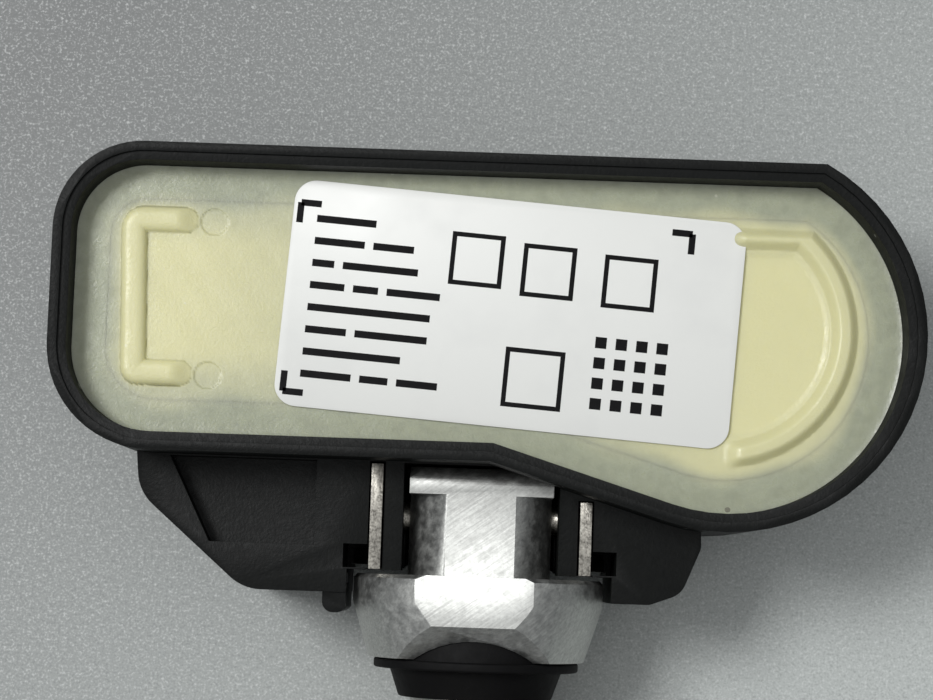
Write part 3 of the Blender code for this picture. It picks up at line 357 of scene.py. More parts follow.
def housing_outline() -> HousingOutline:
    """The outline, from the housing's packed box and its corner radii."""
    low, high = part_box("housing")
    half_width = high.y
    return HousingOutline(
        left=low.x,
        right=high.x,
        half_width=half_width,
        round_radius=half_width + 2.7 * MM,
        round_y=-1.2 * MM,
        flare_x=0.4 * MM,
        back_corner=5.6 * MM,
        front_corner=6.6 * MM,
    )


OUTLINE = housing_outline()
COVER_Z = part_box("potting_ring")[1].z
COVER_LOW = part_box("potting_ring")[0].z


# Shader building


class Links:
    """A material's or a group's node tree, with short calls to add and join nodes."""

    def __init__(self, tree: bpy.types.NodeTree) -> None:
        """Keeps the tree that the nodes go into.

        Args:
            tree: the node tree.
        """
        self.tree = tree

    def add(self, kind: str, **settings: object) -> bpy.types.Node:
        """Adds a node and sets the attributes that are named.

        Args:
            kind: the node's type without its ShaderNode prefix.
            **settings: attribute names and values.

        Returns:
            The new node.
        """
        node = self.tree.nodes.new(f"ShaderNode{kind}")
        for name, value in settings.items():
            setattr(node, name, value)
        return node

    def feed(self, node: bpy.types.Node, **inputs: object) -> bpy.types.Node:
        """Sets or joins inputs by name, where _ stands for a space.

        Args:
            node: the node whose inputs are set.
            **inputs: a socket to join, or a constant to set.

        Returns:
            The same node.
        """
        for name, value in inputs.items():
            socket = node.inputs[name.replace("_", " ")]
            if isinstance(value, bpy.types.NodeSocket):
                self.tree.links.new(value, socket)
            else:
                socket.default_value = value
        return node

    def math(self, operation: str, first: object, second: object = 0.0) -> bpy.types.NodeSocket:
        """A Math node on two values or sockets.

        Args:
            operation: the Math node's operation.
            first: the first value or socket.
            second: the second value or socket.

        Returns:
            The result's socket.
        """
        node = self.add("Math", operation=operation)
        for socket, value in zip(node.inputs, (first, second)):
            if isinstance(value, bpy.types.NodeSocket):
                self.tree.links.new(value, socket)
            else:
                socket.default_value = value
        return node.outputs[0]

    def remap(self, value: object, low: float, high: float, to: tuple[float, float]) -> bpy.types.NodeSocket:
        """A clamped Map Range from low..high to the two given values.

        Args:
            value: the socket to remap.
            low: the value that becomes to[0].
            high: the value that becomes to[1].
            to: the two results.

        Returns:
            The result's socket.
        """
        node = self.add("MapRange")
        self.feed(node, Value=value, From_Min=low, From_Max=high, To_Min=to[0], To_Max=to[1])
        return node.outputs["Result"]

    def blend(self, share: object, first: object, second: object) -> bpy.types.NodeSocket:
        """Mixes two colours by a share.

        Args:
            share: a socket from 0 to 1.
            first: the colour or socket at 0.
            second: the colour or socket at 1.

        Returns:
            The mixed colour's socket.
        """
        node = self.add("Mix", data_type="RGBA")
        for number, value in ((0, share), (6, first), (7, second)):
            if isinstance(value, bpy.types.NodeSocket):
                self.tree.links.new(value, node.inputs[number])
            elif number == 0:
                node.inputs[0].default_value = value
            else:
                node.inputs[number].default_value = (*value, 1.0)
        return node.outputs[2]

    def group(self, shared: bpy.types.NodeTree, **inputs: object) -> bpy.types.Node:
        """Places a shared group and feeds it.

        Args:
            shared: the group's tree.
            **inputs: as for feed.

        Returns:
            The group node.
        """
        node = self.add("Group", node_tree=shared)
        return self.feed(node, **inputs)


def new_group(
    name: str, inputs: dict[str, float], outputs: Sequence[str]
) -> tuple[bpy.types.NodeTree, Links, bpy.types.Node, bpy.types.Node]:
    """Starts a shader node group that works on Object coordinates.

    Args:
        name: the group's name.
        inputs: value inputs and their defaults.
        outputs: names of value outputs.

    Returns:
        The tree, its Links, and its input and output nodes.
    """
    tree = bpy.data.node_groups.new(name, "ShaderNodeTree")
    tree.interface.new_socket("Vector", in_out="INPUT", socket_type="NodeSocketVector")
    for label, value in inputs.items():
        socket = tree.interface.new_socket(label, in_out="INPUT", socket_type="NodeSocketFloat")
        socket.default_value = value
    for label in outputs:
        tree.interface.new_socket(label, in_out="OUTPUT", socket_type="NodeSocketFloat")
    return tree, Links(tree), tree.nodes.new("NodeGroupInput"), tree.nodes.new("NodeGroupOutput")


def grain_group() -> bpy.types.NodeTree:
    """Moulded grain: fine pits over soft swells, as a height from 0 to 1 and a patchy mask."""
    tree, links, start, end = new_group(
        "moulded_grain", {"Scale": 3000.0, "Swell": 400.0}, ("Height", "Patches")
    )
    fine = links.feed(
        links.add("TexNoise"), Vector=start.outputs["Vector"], Scale=start.outputs["Scale"],
        Detail=3.0, Roughness=0.6,
    )
    soft = links.feed(
        links.add("TexNoise"), Vector=start.outputs["Vector"], Scale=start.outputs["Swell"],
        Detail=4.0, Roughness=0.55,
    )
    height = links.math("MULTIPLY_ADD", soft.outputs["Fac"], 0.5)
    tree.links.new(fine.outputs["Fac"], height.node.inputs[2])
    patches = links.remap(soft.outputs["Fac"], 0.35, 0.65, (0.0, 1.0))
    tree.links.new(height, end.inputs["Height"])
    tree.links.new(patches, end.inputs["Patches"])
    return tree


def speck_group() -> bpy.types.NodeTree:
    """Scattered dust: a mask of small round spots, of which only some cells of a grid hold one."""
    tree, links, start, end = new_group(
        "scattered_specks", {"Scale": 900.0, "Share": 0.06, "Size": 0.12}, ("Mask",)
    )
    cells = links.feed(
        links.add("TexVoronoi", feature="F1"), Vector=start.outputs["Vector"],
        Scale=start.outputs["Scale"],
    )
    parts = links.feed(links.add("SeparateColor"), Color=cells.outputs["Color"])
    chosen = links.math("LESS_THAN", parts.outputs[0], start.outputs["Share"])
    size = links.math("MULTIPLY", parts.outputs[1], start.outputs["Size"])
    near = links.math("LESS_THAN", cells.outputs["Distance"], size)
    tree.links.new(links.math("MULTIPLY", chosen, near), end.inputs["Mask"])
    return tree


def streak_group() -> bpy.types.NodeTree:
    """Tool marks: noise drawn out along the vector's Y, from 0 to 1."""
    tree, links, start, end = new_group(
        "tool_streaks", {"Scale": 4000.0, "Stretch": 0.03, "Turn": 0.0}, ("Height",)
    )
    turn = links.feed(links.add("CombineXYZ"), Z=start.outputs["Turn"])
    squeeze = links.feed(links.add("CombineXYZ"), X=1.0, Y=start.outputs["Stretch"], Z=1.0)
    turned = links.feed(
        links.add("Mapping", vector_type="POINT"), Vector=start.outputs["Vector"],
        Rotation=turn.outputs[0],
    )
    drawn = links.feed(
        links.add("Mapping", vector_type="POINT"), Vector=turned.outputs[0],
        Scale=squeeze.outputs[0],
    )
    noise = links.feed(
        links.add("TexNoise"), Vector=drawn.outputs[0], Scale=start.outputs["Scale"],
        Detail=4.0, Roughness=0.65,
    )
    tree.links.new(noise.outputs["Fac"], end.inputs["Height"])
    return tree


GRAIN = grain_group()
SPECKS = speck_group()
STREAKS = streak_group()


@dataclass(frozen=True)
class Finish:
    """A finish: its name, the record's slot it belongs to, and its base colour and roughness."""

    name: str
    slot: str
    colour: Colour
    roughness: float

    def material(self) -> bpy.types.Material:
        """The finish's material, built once."""
        found = bpy.data.materials.get(self.name)
        if found:
            return found
        made = bpy.data.materials.new(self.name)
        made.use_nodes = True
        links = Links(made.node_tree)
        shader = made.node_tree.nodes["Principled BSDF"]
        place = links.add("TexCoord").outputs["Object"]
        self.dress(links, shader, place)
        return made

    def dress(self, links: Links, shader: bpy.types.Node, place: bpy.types.NodeSocket) -> None:
        """Joins the finish's nodes to its shader; each kind of finish has its own.

        Args:
            links: the material's node tree.
            shader: its Principled shader.
            place: the Object coordinates.
        """
        raise NotImplementedError

    def bump(self, links: Links, shader: bpy.types.Node, height: object, depth: float) -> None:
        """Feeds a height to the shader's normal.

        Args:
            links: the material's node tree.
            shader: its Principled shader.
            height: the height's socket.
            depth: what a height of 1 stands for.
        """
        bump = links.feed(links.add("Bump"), Height=height, Distance=depth, Strength=1.0)
        links.feed(shader, Normal=bump.outputs["Normal"])

    def put_on(self, piece: bpy.types.Object) -> None:
        """Gives the piece this finish alone.

        Args:
            piece: the piece to dress.
        """
        piece.data.materials.clear()
        piece.data.materials.append(self.material())


@dataclass(frozen=True)
class Moulded(Finish):
    """Moulded plastic or rubber: fine grain, patchy sheen and a little dust."""

    grain: float = 3200.0
    depth: float = 0.012 * MM
    dust: float = 0.05
    dust_colour: Colour = (0.16, 0.16, 0.15)
    spread: float = 0.07
    gloss: float = 0.5

    def dress(self, links: Links, shader: bpy.types.Node, place: bpy.types.NodeSocket) -> None:
        """Colour with patches and dust, patchy roughness, grain as a bump.

        Args:
            links: the material's node tree.
            shader: its Principled shader.
            place: the Object coordinates.
        """
        grain = links.group(GRAIN, Vector=place, Scale=self.grain, Swell=self.grain / 2.6)
        lighter = tuple(1.3 * part for part in self.colour)
        patched = links.blend(grain.outputs["Patches"], self.colour, lighter)
        dust = links.group(SPECKS, Vector=place, Scale=700.0, Share=self.dust, Size=0.16)
        links.feed(shader, Base_Color=links.blend(dust.outputs["Mask"], patched, self.dust_colour))
        low, high = self.roughness - self.spread / 2, self.roughness + self.spread / 2
        links.feed(shader, Roughness=links.remap(grain.outputs["Patches"], 0, 1, (high, low)))
        shader.inputs["Specular IOR Level"].default_value = self.gloss
        self.bump(links, shader, grain.outputs["Height"], self.depth)


@dataclass(frozen=True)
class PottedPlastic(Finish):
    """Cream plastic under clear cloudy resin, which takes over where the cream share falls."""

    resin: Colour = (0.41, 0.435, 0.315)
    warm: Colour = (0.75, 0.72, 0.41)
    bubble: Colour = (0.78, 0.78, 0.66)
    dirt: Colour = (0.13, 0.12, 0.09)
    spread: float = 0.16
    depth: float = 0.022 * MM
    glow: float = 0.45
    glow_reach: tuple[float, float, float] = (1.6 * MM, 1.5 * MM, 1.1 * MM)

    def dress(self, links: Links, shader: bpy.types.Node, place: bpy.types.NodeSocket) -> None:
        """Resin and cream mixed by the piece's own cream share, with clouds, bubbles and dirt.

        Args:
            links: the material's node tree.
            shader: its Principled shader.
            place: the Object coordinates.
        """
        cream = links.add("Attribute", attribute_name="cream").outputs["Fac"]
        warm = links.add("Attribute", attribute_name="warm").outputs["Fac"]
        cloud = links.group(GRAIN, Vector=place, Scale=5200.0, Swell=1100.0)
        patches = cloud.outputs["Patches"]
        deep = tuple(0.84 * part for part in self.resin)
        resin = links.blend(patches, deep, self.resin)
        thin = tuple(0.93 * part for part in self.colour)
        body = links.blend(patches, thin, self.colour)
        body = links.blend(warm, body, self.warm)
        colour = links.blend(cream, resin, body)
        bubbles = links.group(SPECKS, Vector=place, Scale=1400.0, Share=0.03, Size=0.25)
        pale = links.math("MULTIPLY", bubbles.outputs["Mask"], 0.35)
        colour = links.blend(pale, colour, self.bubble)
        dirt = links.group(SPECKS, Vector=place, Scale=260.0, Share=0.035, Size=0.10)
        dirty = links.math("MULTIPLY", dirt.outputs["Mask"], 0.75)
        links.feed(shader, Base_Color=links.blend(dirty, colour, self.dirt))
        low, high = self.roughness - self.spread / 2, self.roughness + self.spread / 2
        links.feed(shader, Roughness=links.remap(patches, 0, 1, (high, low)))
        shader.inputs["Subsurface Weight"].default_value = self.glow
        shader.inputs["Subsurface Radius"].default_value = self.glow_reach
        shader.inputs["Subsurface Scale"].default_value = 1.0
        self.bump(links, shader, cloud.outputs["Height"], self.depth)


@dataclass(frozen=True)
class Film(Finish):
    """Printed film: even and smooth, with the faintest texture and a few smudges."""

    smudge: Colour = (0.62, 0.63, 0.62)
    spread: float = 0.1
    depth: float = 0.004 * MM

    def dress(self, links: Links, shader: bpy.types.Node, place: bpy.types.NodeSocket) -> None:
        """Even colour with faint smudges and a paper-like bump.

        Args:
            links: the material's node tree.
            shader: its Principled shader.
            place: the Object coordinates.
        """
        grain = links.group(GRAIN, Vector=place, Scale=5200.0, Swell=160.0)
        share = links.remap(grain.outputs["Patches"], 0.55, 1.0, (0.0, 0.14))
        links.feed(shader, Base_Color=links.blend(share, self.colour, self.smudge))
        sheen = links.remap(grain.outputs["Patches"], 0, 1, (self.roughness, self.roughness + self.spread))
        links.feed(shader, Roughness=sheen)
        self.bump(links, shader, grain.outputs["Height"], self.depth)


@dataclass(frozen=True)
class Metal(Finish):
    """Bare or plated metal: drawn-out tool marks, a mottled sheen and darker pits."""

    dark: Colour = (0.30, 0.30, 0.29)
    stretch: float = 0.05
    turn: float = 0.0
    marks: float = 3800.0
    depth: float = 0.006 * MM
    mottle: float = 650.0
    stain: float = 0.3
    spread: float = 0.16

    def dress(self, links: Links, shader: bpy.types.Node, place: bpy.types.NodeSocket) -> None:
        """Colour and roughness mottled, tool marks as a bump.

        Args:
            links: the material's node tree.
            shader: its Principled shader.
            place: the Object coordinates.
        """
        streak = links.group(STREAKS, Vector=place, Scale=self.marks, Stretch=self.stretch, Turn=self.turn)
        grain = links.group(GRAIN, Vector=place, Scale=self.mottle * 3, Swell=self.mottle)
        share = links.remap(grain.outputs["Height"], 0.5, 0.85, (self.stain, 0.0))
        stained = links.blend(share, self.colour, self.dark)
        groove = links.remap(streak.outputs["Height"], 0.36, 0.6, (0.42, 0.0))
        links.feed(shader, Base_Color=links.blend(groove, stained, self.dark))
        low, high = self.roughness - self.spread / 2, self.roughness + self.spread / 2
        links.feed(shader, Roughness=links.remap(grain.outputs["Patches"], 0, 1, (low, high)))
        shader.inputs["Metallic"].default_value = 1.0
        height = links.math("MULTIPLY_ADD", grain.outputs["Height"], 0.4)
        links.tree.links.new(streak.outputs["Height"], height.node.inputs[2])
        self.bump(links, shader, height, self.depth)


@dataclass(frozen=True)
class SpeckledSheet(Finish):
    """A grey sheet with a painted sheen that makes it brighter towards +X and -Y, with fine dark and bright
    specks.
    """

    # colour of the painted sheen at the floor's bright end
    painted_sheen_side: Colour = (0.50, 0.53, 0.515)
    dark_speck: Colour = (0.12, 0.13, 0.13)
    bright_speck: Colour = (0.72, 0.74, 0.73)
    reach: float = 50 * MM

    def dress(self, links: Links, shader: bpy.types.Node, place: bpy.types.NodeSocket) -> None:
        """Colour that follows x less y as a painted sheen of light, with specks from the grain's lows and
        highs.

        Args:
            links: the material's node tree.
            shader: its Principled shader.
            place: the Object coordinates.
        """
        parts = links.feed(links.add("SeparateXYZ"), Vector=place)
        # painted light: the colour brightens along x less y, standing in for the lamps' sheen on the sheet
        across = links.math("SUBTRACT", parts.outputs["X"], parts.outputs["Y"])
        slope = links.remap(across, -self.reach, self.reach, (0.0, 1.0))
        sheen = links.blend(slope, self.colour, self.painted_sheen_side)
        grain = links.group(GRAIN, Vector=place, Scale=6200.0, Swell=2600.0)
        dark = links.remap(grain.outputs["Height"], 0.56, 0.72, (0.3, 0.0))
        bright = links.remap(grain.outputs["Height"], 0.78, 0.98, (0.0, 0.6))
        toned = links.blend(dark, sheen, self.dark_speck)
        links.feed(shader, Base_Color=links.blend(bright, toned, self.bright_speck))
        shader.inputs["Roughness"].default_value = self.roughness


BLACK_PLASTIC = Moulded(
    "black_plastic_grained",
    "black_plastic",
    (0.0036, 0.0042, 0.0039),
    0.48,
    grain=5200.0,
    depth=0.028 * MM,
    gloss=0.16,
)
CREAM = PottedPlastic("potted_cream_plastic", "cream_plastic", (0.57, 0.57, 0.37), 0.36)
RESIN = PottedPlastic("clear_potting_resin", "potting_resin", (0.57, 0.57, 0.37), 0.32)
FILM = Film("white_label_film", "label_film", (0.82, 0.83, 0.80), 0.38)
INK = Moulded(
    "black_ink",
    "label_film",
    (0.004, 0.004, 0.0045),
    0.5,
    grain=6000.0,
    depth=0.002 * MM,
    dust=0.0,
    gloss=0.1,
)
STEM_METAL = Metal(
    "machined_aluminium",
    "stem_aluminium",
    (0.66, 0.67, 0.645),
    0.5,
    turn=0.95,
    marks=7000.0,
    depth=0.012 * MM,
    mottle=1600.0,
    stain=0.4,
)
THREAD_METAL = Metal("threaded_aluminium", "stem_aluminium", (0.74, 0.75, 0.73), 0.3, stretch=0.3)
CLIP_STEEL = Metal(
    "sheared_spring_steel",
    "spring_steel",
    (0.50, 0.48, 0.43),
    0.38,
    dark=(0.05, 0.045, 0.04),
    mottle=2200.0,
    marks=3000.0,
    stretch=0.3,
    depth=0.02 * MM,
    stain=0.85,
)
RUBBER = Moulded(
    "black_rubber_matt",
    "black_rubber",
    (0.002, 0.002, 0.0022),
    0.66,
    depth=0.02 * MM,
    dust=0.03,
    gloss=0.16,
)
NICKEL = Metal(
    "bright_nickel", "nickel_plate", (0.72, 0.69, 0.63), 0.22, dark=(0.42, 0.40, 0.36), stretch=0.4
)
BRASS = Metal("turned_brass", "brass", (0.78, 0.55, 0.24), 0.26, dark=(0.34, 0.2, 0.07))
COPPER = Metal("drawn_copper", "copper_wire", (0.78, 0.36, 0.19), 0.28, dark=(0.36, 0.13, 0.06))
BOARD = Moulded("solder_mask", "board_green", (0.015, 0.10, 0.035), 0.35, dust=0.0)
FERRITE = Moulded("sintered_ferrite", "ferrite", (0.04, 0.04, 0.043), 0.6)
CERAMIC = Moulded("fired_ceramic", "chip_ceramic", (0.34, 0.24, 0.15), 0.5)
CHIP = Moulded("chip_mould", "chip_black", (0.02, 0.02, 0.021), 0.45)
MEMBRANE = Moulded("porous_membrane", "filter_membrane", (0.74, 0.74, 0.72), 0.8, dust=0.0)
SHEET = SpeckledSheet("floor_grey", "floor", (0.20, 0.207, 0.205), 0.55)


# The cover: one surface that the plate and the potting around it share


def segment_distance(places: Array, line: Array) -> Array:
    """The distance of each place from an open line of points.

    Args:
        places: an (n, 2) array.
        line: an (m, 2) array of the line's points.

    Returns:
        The n distances, each to the nearest segment.
    """
    best = np.full(len(places), np.inf)
    for start, end in zip(line[:-1], line[1:]):
        along = end - start
        share = np.clip(((places - start) @ along) / (along @ along), 0, 1)
        gap = places - start - share[:, None] * along
        best = np.minimum(best, np.sqrt((gap**2).sum(1)))
    return best


def ease(value: Array, low: float, high: float) -> Array:
    """A smooth step from 0 at low to 1 at high: 3 t squared less 2 t cubed.

    Args:
        value: the values.
        low: where the step starts.
        high: where it ends.

    Returns:
        The steps' shares, from 0 to 1.
    """
    share = np.clip((value - low) / (high - low), 0, 1)
    return share * share * (3 - 2 * share)


@dataclass(frozen=True)
class CoverSurface:
    """Height and tint of the potted cover at each place seen from above."""

    seam: float = 3.3 * MM
    wall: float = 1.17 * MM
    creep: float = 1.1 * MM
    level_from: float = 2.4 * MM
    ridge_height: float = 0.53 * MM
    c_half_width: float = 0.82 * MM
    c_left: float = -22.38 * MM
    c_lean: float = 0.34 * MM
    c_top: float = 5.08 * MM
    c_bottom: float = -4.68 * MM
    c_end: float = -19.45 * MM
    d_centre: tuple[float, float] = (14.77 * MM, -0.79 * MM)
    d_outer: float = 8.79 * MM
    d_inner: float = 7.0 * MM
    d_outer_flat: float = 5.8 * MM
    d_inner_flat: float = 4.4 * MM
    d_start: float = 16.3 * MM
    ejector_radius: float = 0.92 * MM
    ejector_edge: float = 0.12 * MM
    ejector_sunk: float = 0.07 * MM
    ejectors: tuple[tuple[float, float], ...] = ((-17.65 * MM, -4.77 * MM), (-17.63 * MM, 5.04 * MM))

    def c_distance(self, places: Array) -> Array:
        """The distance from the middle line of the bracket-shaped ridge.

        Args:
            places: an (n, 2) array.

        Returns:
            The n distances.
        """
        line = rounded_profile(
            [
                (self.c_end, self.c_top, 0),
                (self.c_left - self.c_lean, self.c_top, 0.6 * MM),
                (self.c_left, self.c_bottom, 0.3 * MM),
                (self.c_end, self.c_bottom, 0),
            ],
            closed=False,
        )
        return segment_distance(places, line)

    def d_edges(self, places: Array) -> tuple[Array, Array]:
        """The distances outside the round ridge's outer edge and inner edge; inside is negative.

        Args:
            places: an (n, 2) array.

        Returns:
            The n distances from the outer edge, and the n from the inner edge.
        """
        from_centre = np.hypot(*(places - np.array(self.d_centre)).T)
        outer = np.maximum(from_centre - self.d_outer, places[:, 1] - self.d_outer_flat)
        inner = np.maximum(from_centre - self.d_inner, places[:, 1] - self.d_inner_flat)
        return outer, inner

    def height(self, places: Array) -> Array:
        """The height above the cover's level.

        A round-topped ridge follows the bracket, and a broader flat-topped one the round end. The
        resin sinks a little between the wall and the plate and creeps up the wall.

        Args:
            places: an (n, 2) array.

        Returns:
            The n heights.
        """
        depth = OUTLINE.depth_inside(places)
        c = np.clip(self.c_distance(places) / self.c_half_width, 0, 1)
        ends = 1 - 0.8 * ease(places[:, 0], self.c_end - 0.6 * MM, self.c_end + 0.8 * MM)
        bracket = self.ridge_height * np.sqrt(1 - c**3.2) * ends
        outer, inner = self.d_edges(places)
        across = np.minimum(-outer, inner) / (self.d_outer - self.d_inner) * 2
        ring = self.ridge_height * ease(across, 0.0, 0.75) ** 0.8
        ring = ring * ease(places[:, 0], self.d_start - 1.2 * MM, self.d_start)
        height = np.maximum(bracket, ring)
        height = height - 0.1 * MM * ease(-inner, 0.0, 0.5 * MM)
        for x, y in self.ejectors:
            away = np.hypot(places[:, 0] - x, places[:, 1] - y)
            disc = 1 - ease(away, self.ejector_radius - self.ejector_edge, self.ejector_radius)
            height = height - self.ejector_sunk * disc
        climb = np.exp(-np.maximum(depth - self.wall, 0) / (0.28 * MM))
        x, y = (places / MM).T
        waves = np.sin(1.1 * x + 0.6 * y) + np.sin(0.43 * x - 1.3 * y + 1.0) + np.sin(2.3 * x + 1.9 * y)
        return height + 0.12 * MM * climb + 0.006 * MM * waves

    def tints(self, places: Array) -> tuple[Array, Array]:
        """How much cream plastic shows through the resin, and where the colour turns brighter and yellower
        on and inside the two ridges.

        Args:
            places: an (n, 2) array.

        Returns:
            Two arrays from 0 to 1.
        """
        depth = OUTLINE.depth_inside(places)
        x, y = (places / MM).T
        drift = 0.25 * MM * (np.sin(0.9 * x + 0.7) + np.sin(0.6 * y + 0.31 * x))
        cream = 0.85 * ease(depth + drift, 2.5 * MM, 4.0 * MM) + 0.15 * ease(depth, 4.0 * MM, 7.0 * MM)
        c = self.c_distance(places)
        on_c = 1 - ease(c, self.c_half_width * 0.8, self.c_half_width * 1.3)
        in_c = (
            ease(places[:, 0], self.c_left, self.c_left + 1.0 * MM)
            * ease(places[:, 1], self.c_bottom - 1.2 * MM, self.c_bottom + 1.8 * MM)
            * (1 - ease(places[:, 1], self.c_top - 1.8 * MM, self.c_top + 1.2 * MM))
            * (1 - 0.45 * ease(places[:, 0], -20.0 * MM, -13.0 * MM))
        )
        outer, inner = self.d_edges(places)
        in_d = 1 - ease(inner, -0.4 * MM, 0.5 * MM)
        on_d = (1 - ease(outer, -0.3 * MM, 2.4 * MM)) * 0.9
        right = ease(places[:, 0], 6.0 * MM, 15.0 * MM)
        # brighter, yellower colour on and inside the ridges; inside the bracket it weakens towards +X, and
        # at the round ridge it appears only towards +X
        warm = np.maximum.reduce([on_c, 0.85 * in_c, in_d * right, on_d * right])
        return cream, warm

    def normals(self, places: Array) -> Array:
        """Unit normals from the height's slopes, each a difference over a fiftieth of a millimetre.

        Args:
            places: an (n, 2) array.

        Returns:
            An (n, 3) array.
        """
        step = 0.02 * MM
        along_x = self.height(places + (step, 0)) - self.height(places - (step, 0))
        along_y = self.height(places + (0, step)) - self.height(places - (0, step))
        found = np.column_stack([-along_x, -along_y, np.full(len(places), 2 * step)])
        return found / np.linalg.norm(found, axis=1)[:, None]

    def paint(self, piece: bpy.types.Object) -> None:
        """Stores the tints on the piece's own points, and the surface's own normals on its top faces.

        Args:
            piece: the plate or the potting.
        """
        mesh = piece.data
        places = np.empty(3 * len(mesh.vertices))
        mesh.vertices.foreach_get("co", places)
        flat = places.reshape(-1, 3)[:, :2]
        corners = np.empty(len(mesh.loops), np.int32)
        mesh.loops.foreach_get("vertex_index", corners)
        facing = np.empty(3 * len(mesh.polygons))
        mesh.polygons.foreach_get("normal", facing)
        sizes = np.empty(len(mesh.polygons), np.int32)
        mesh.polygons.foreach_get("loop_total", sizes)
        facing = np.repeat(facing.reshape(-1, 3), sizes, axis=0)
        on_top = facing[:, 2] > 0.2
        facing[on_top] = self.normals(flat)[corners[on_top]]
        mesh.normals_split_custom_set(facing.tolist())
        for name, values in zip(("cream", "warm"), self.tints(flat)):
            layer = mesh.attributes.new(name, "FLOAT", "POINT")
            layer.data.foreach_set("value", values.astype(np.float32))


SURFACE = CoverSurface()


class PlateDetail(Enum):
    """How many columns and rows of points the plate's top has."""

    FULL = (440, 130)
    QUICK = (220, 70)


def cream_plate() -> bpy.types.Object:
    """The moulded plate: columns across the housing, closer together towards both ends."""
    columns, rows = PlateDetail.FULL.value
    edge = OUTLINE.points(SURFACE.seam, 0.1 * MM)
    left, right = edge[:, 0].min(), edge[:, 0].max()
    share = 0.5 - 0.5 * np.cos(np.linspace(0.012, pi - 0.012, columns))
    x = left + (right - left) * share
    upper, lower = edge_heights(edge, x)
    across = np.linspace(0, 1, rows)[None, :]
    y = lower[:, None] * (1 - across) + upper[:, None] * across
    top = np.stack([np.broadcast_to(x[:, None], y.shape), y], -1).reshape(-1, 2)
    z = COVER_Z + SURFACE.height(top)
    points = np.column_stack([top, z])
    grid = grid_faces(columns, rows, False, False)[:, ::-1]
    loop = np.concatenate(
        [
            np.arange(columns) * rows,
            (columns - 1) * rows + np.arange(1, rows),
            np.arange(columns - 2, -1, -1) * rows + rows - 1,
            np.arange(rows - 2, 0, -1),
        ]
    )
    under = points[loop].copy()
    under[:, 2] = COVER_LOW
    first = len(points)
    ring = np.arange(len(loop))
    after = (ring + 1) % len(loop)
    skirt = np.stack([loop[ring], first + ring, first + after, loop[after]], -1)
    faces = grid.tolist() + skirt.tolist() + [list(range(first + len(loop) - 1, first - 1, -1))]
    made = mesh_piece("cream_plate", np.vstack([points, under]), faces)
    made.data.set_sharp_from_angle(angle=radians(50))
    SURFACE.paint(made)
    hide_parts("cover_plate")
    return made


def edge_heights(edge: Array, x: Array) -> tuple[Array, Array]:
    """Where the outline lies above and below each x.

    Args:
        edge: the outline's points, counter-clockwise.
        x: the places asked for, inside the outline's ends.

    Returns:
        The upper and the lower y for each x.
    """
    far, near = int(edge[:, 0].argmax()), int(edge[:, 0].argmin())
    turned = np.roll(edge, -far, axis=0)
    split = (near - far) % len(edge)
    upper = turned[: split + 1][::-1]
    lower = np.vstack([turned[split:], turned[:1]])
    return (
        np.interp(x, upper[:, 0], upper[:, 1]),
        np.interp(x, lower[:, 0], lower[:, 1]),
    )


def potting() -> bpy.types.Object:
    """The resin round the plate: rings from the wall in to the seam, then back underneath."""
    insets = np.concatenate(
        [
            SURFACE.wall + SURFACE.creep * np.linspace(0, 1, 12) ** 1.6,
            np.linspace(SURFACE.level_from, SURFACE.seam, 9),
        ]
    )
    rings = [OUTLINE.points(float(inset), 0.15 * MM) for inset in insets]
    columns = len(rings[0])
    rows = [np.column_stack([ring, COVER_Z + SURFACE.height(ring)]) for ring in rings]
    rows.append(np.column_stack([rings[-1], np.full(columns, COVER_LOW)]))
    rows.append(np.column_stack([rings[0], np.full(columns, COVER_LOW)]))
    faces = grid_faces(len(rows), columns, True, True)
    made = mesh_piece("potting", np.concatenate(rows), faces)
    made.data.set_sharp_from_angle(angle=radians(50))
    SURFACE.paint(made)
    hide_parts("potting_ring")
    return made


# The label's print


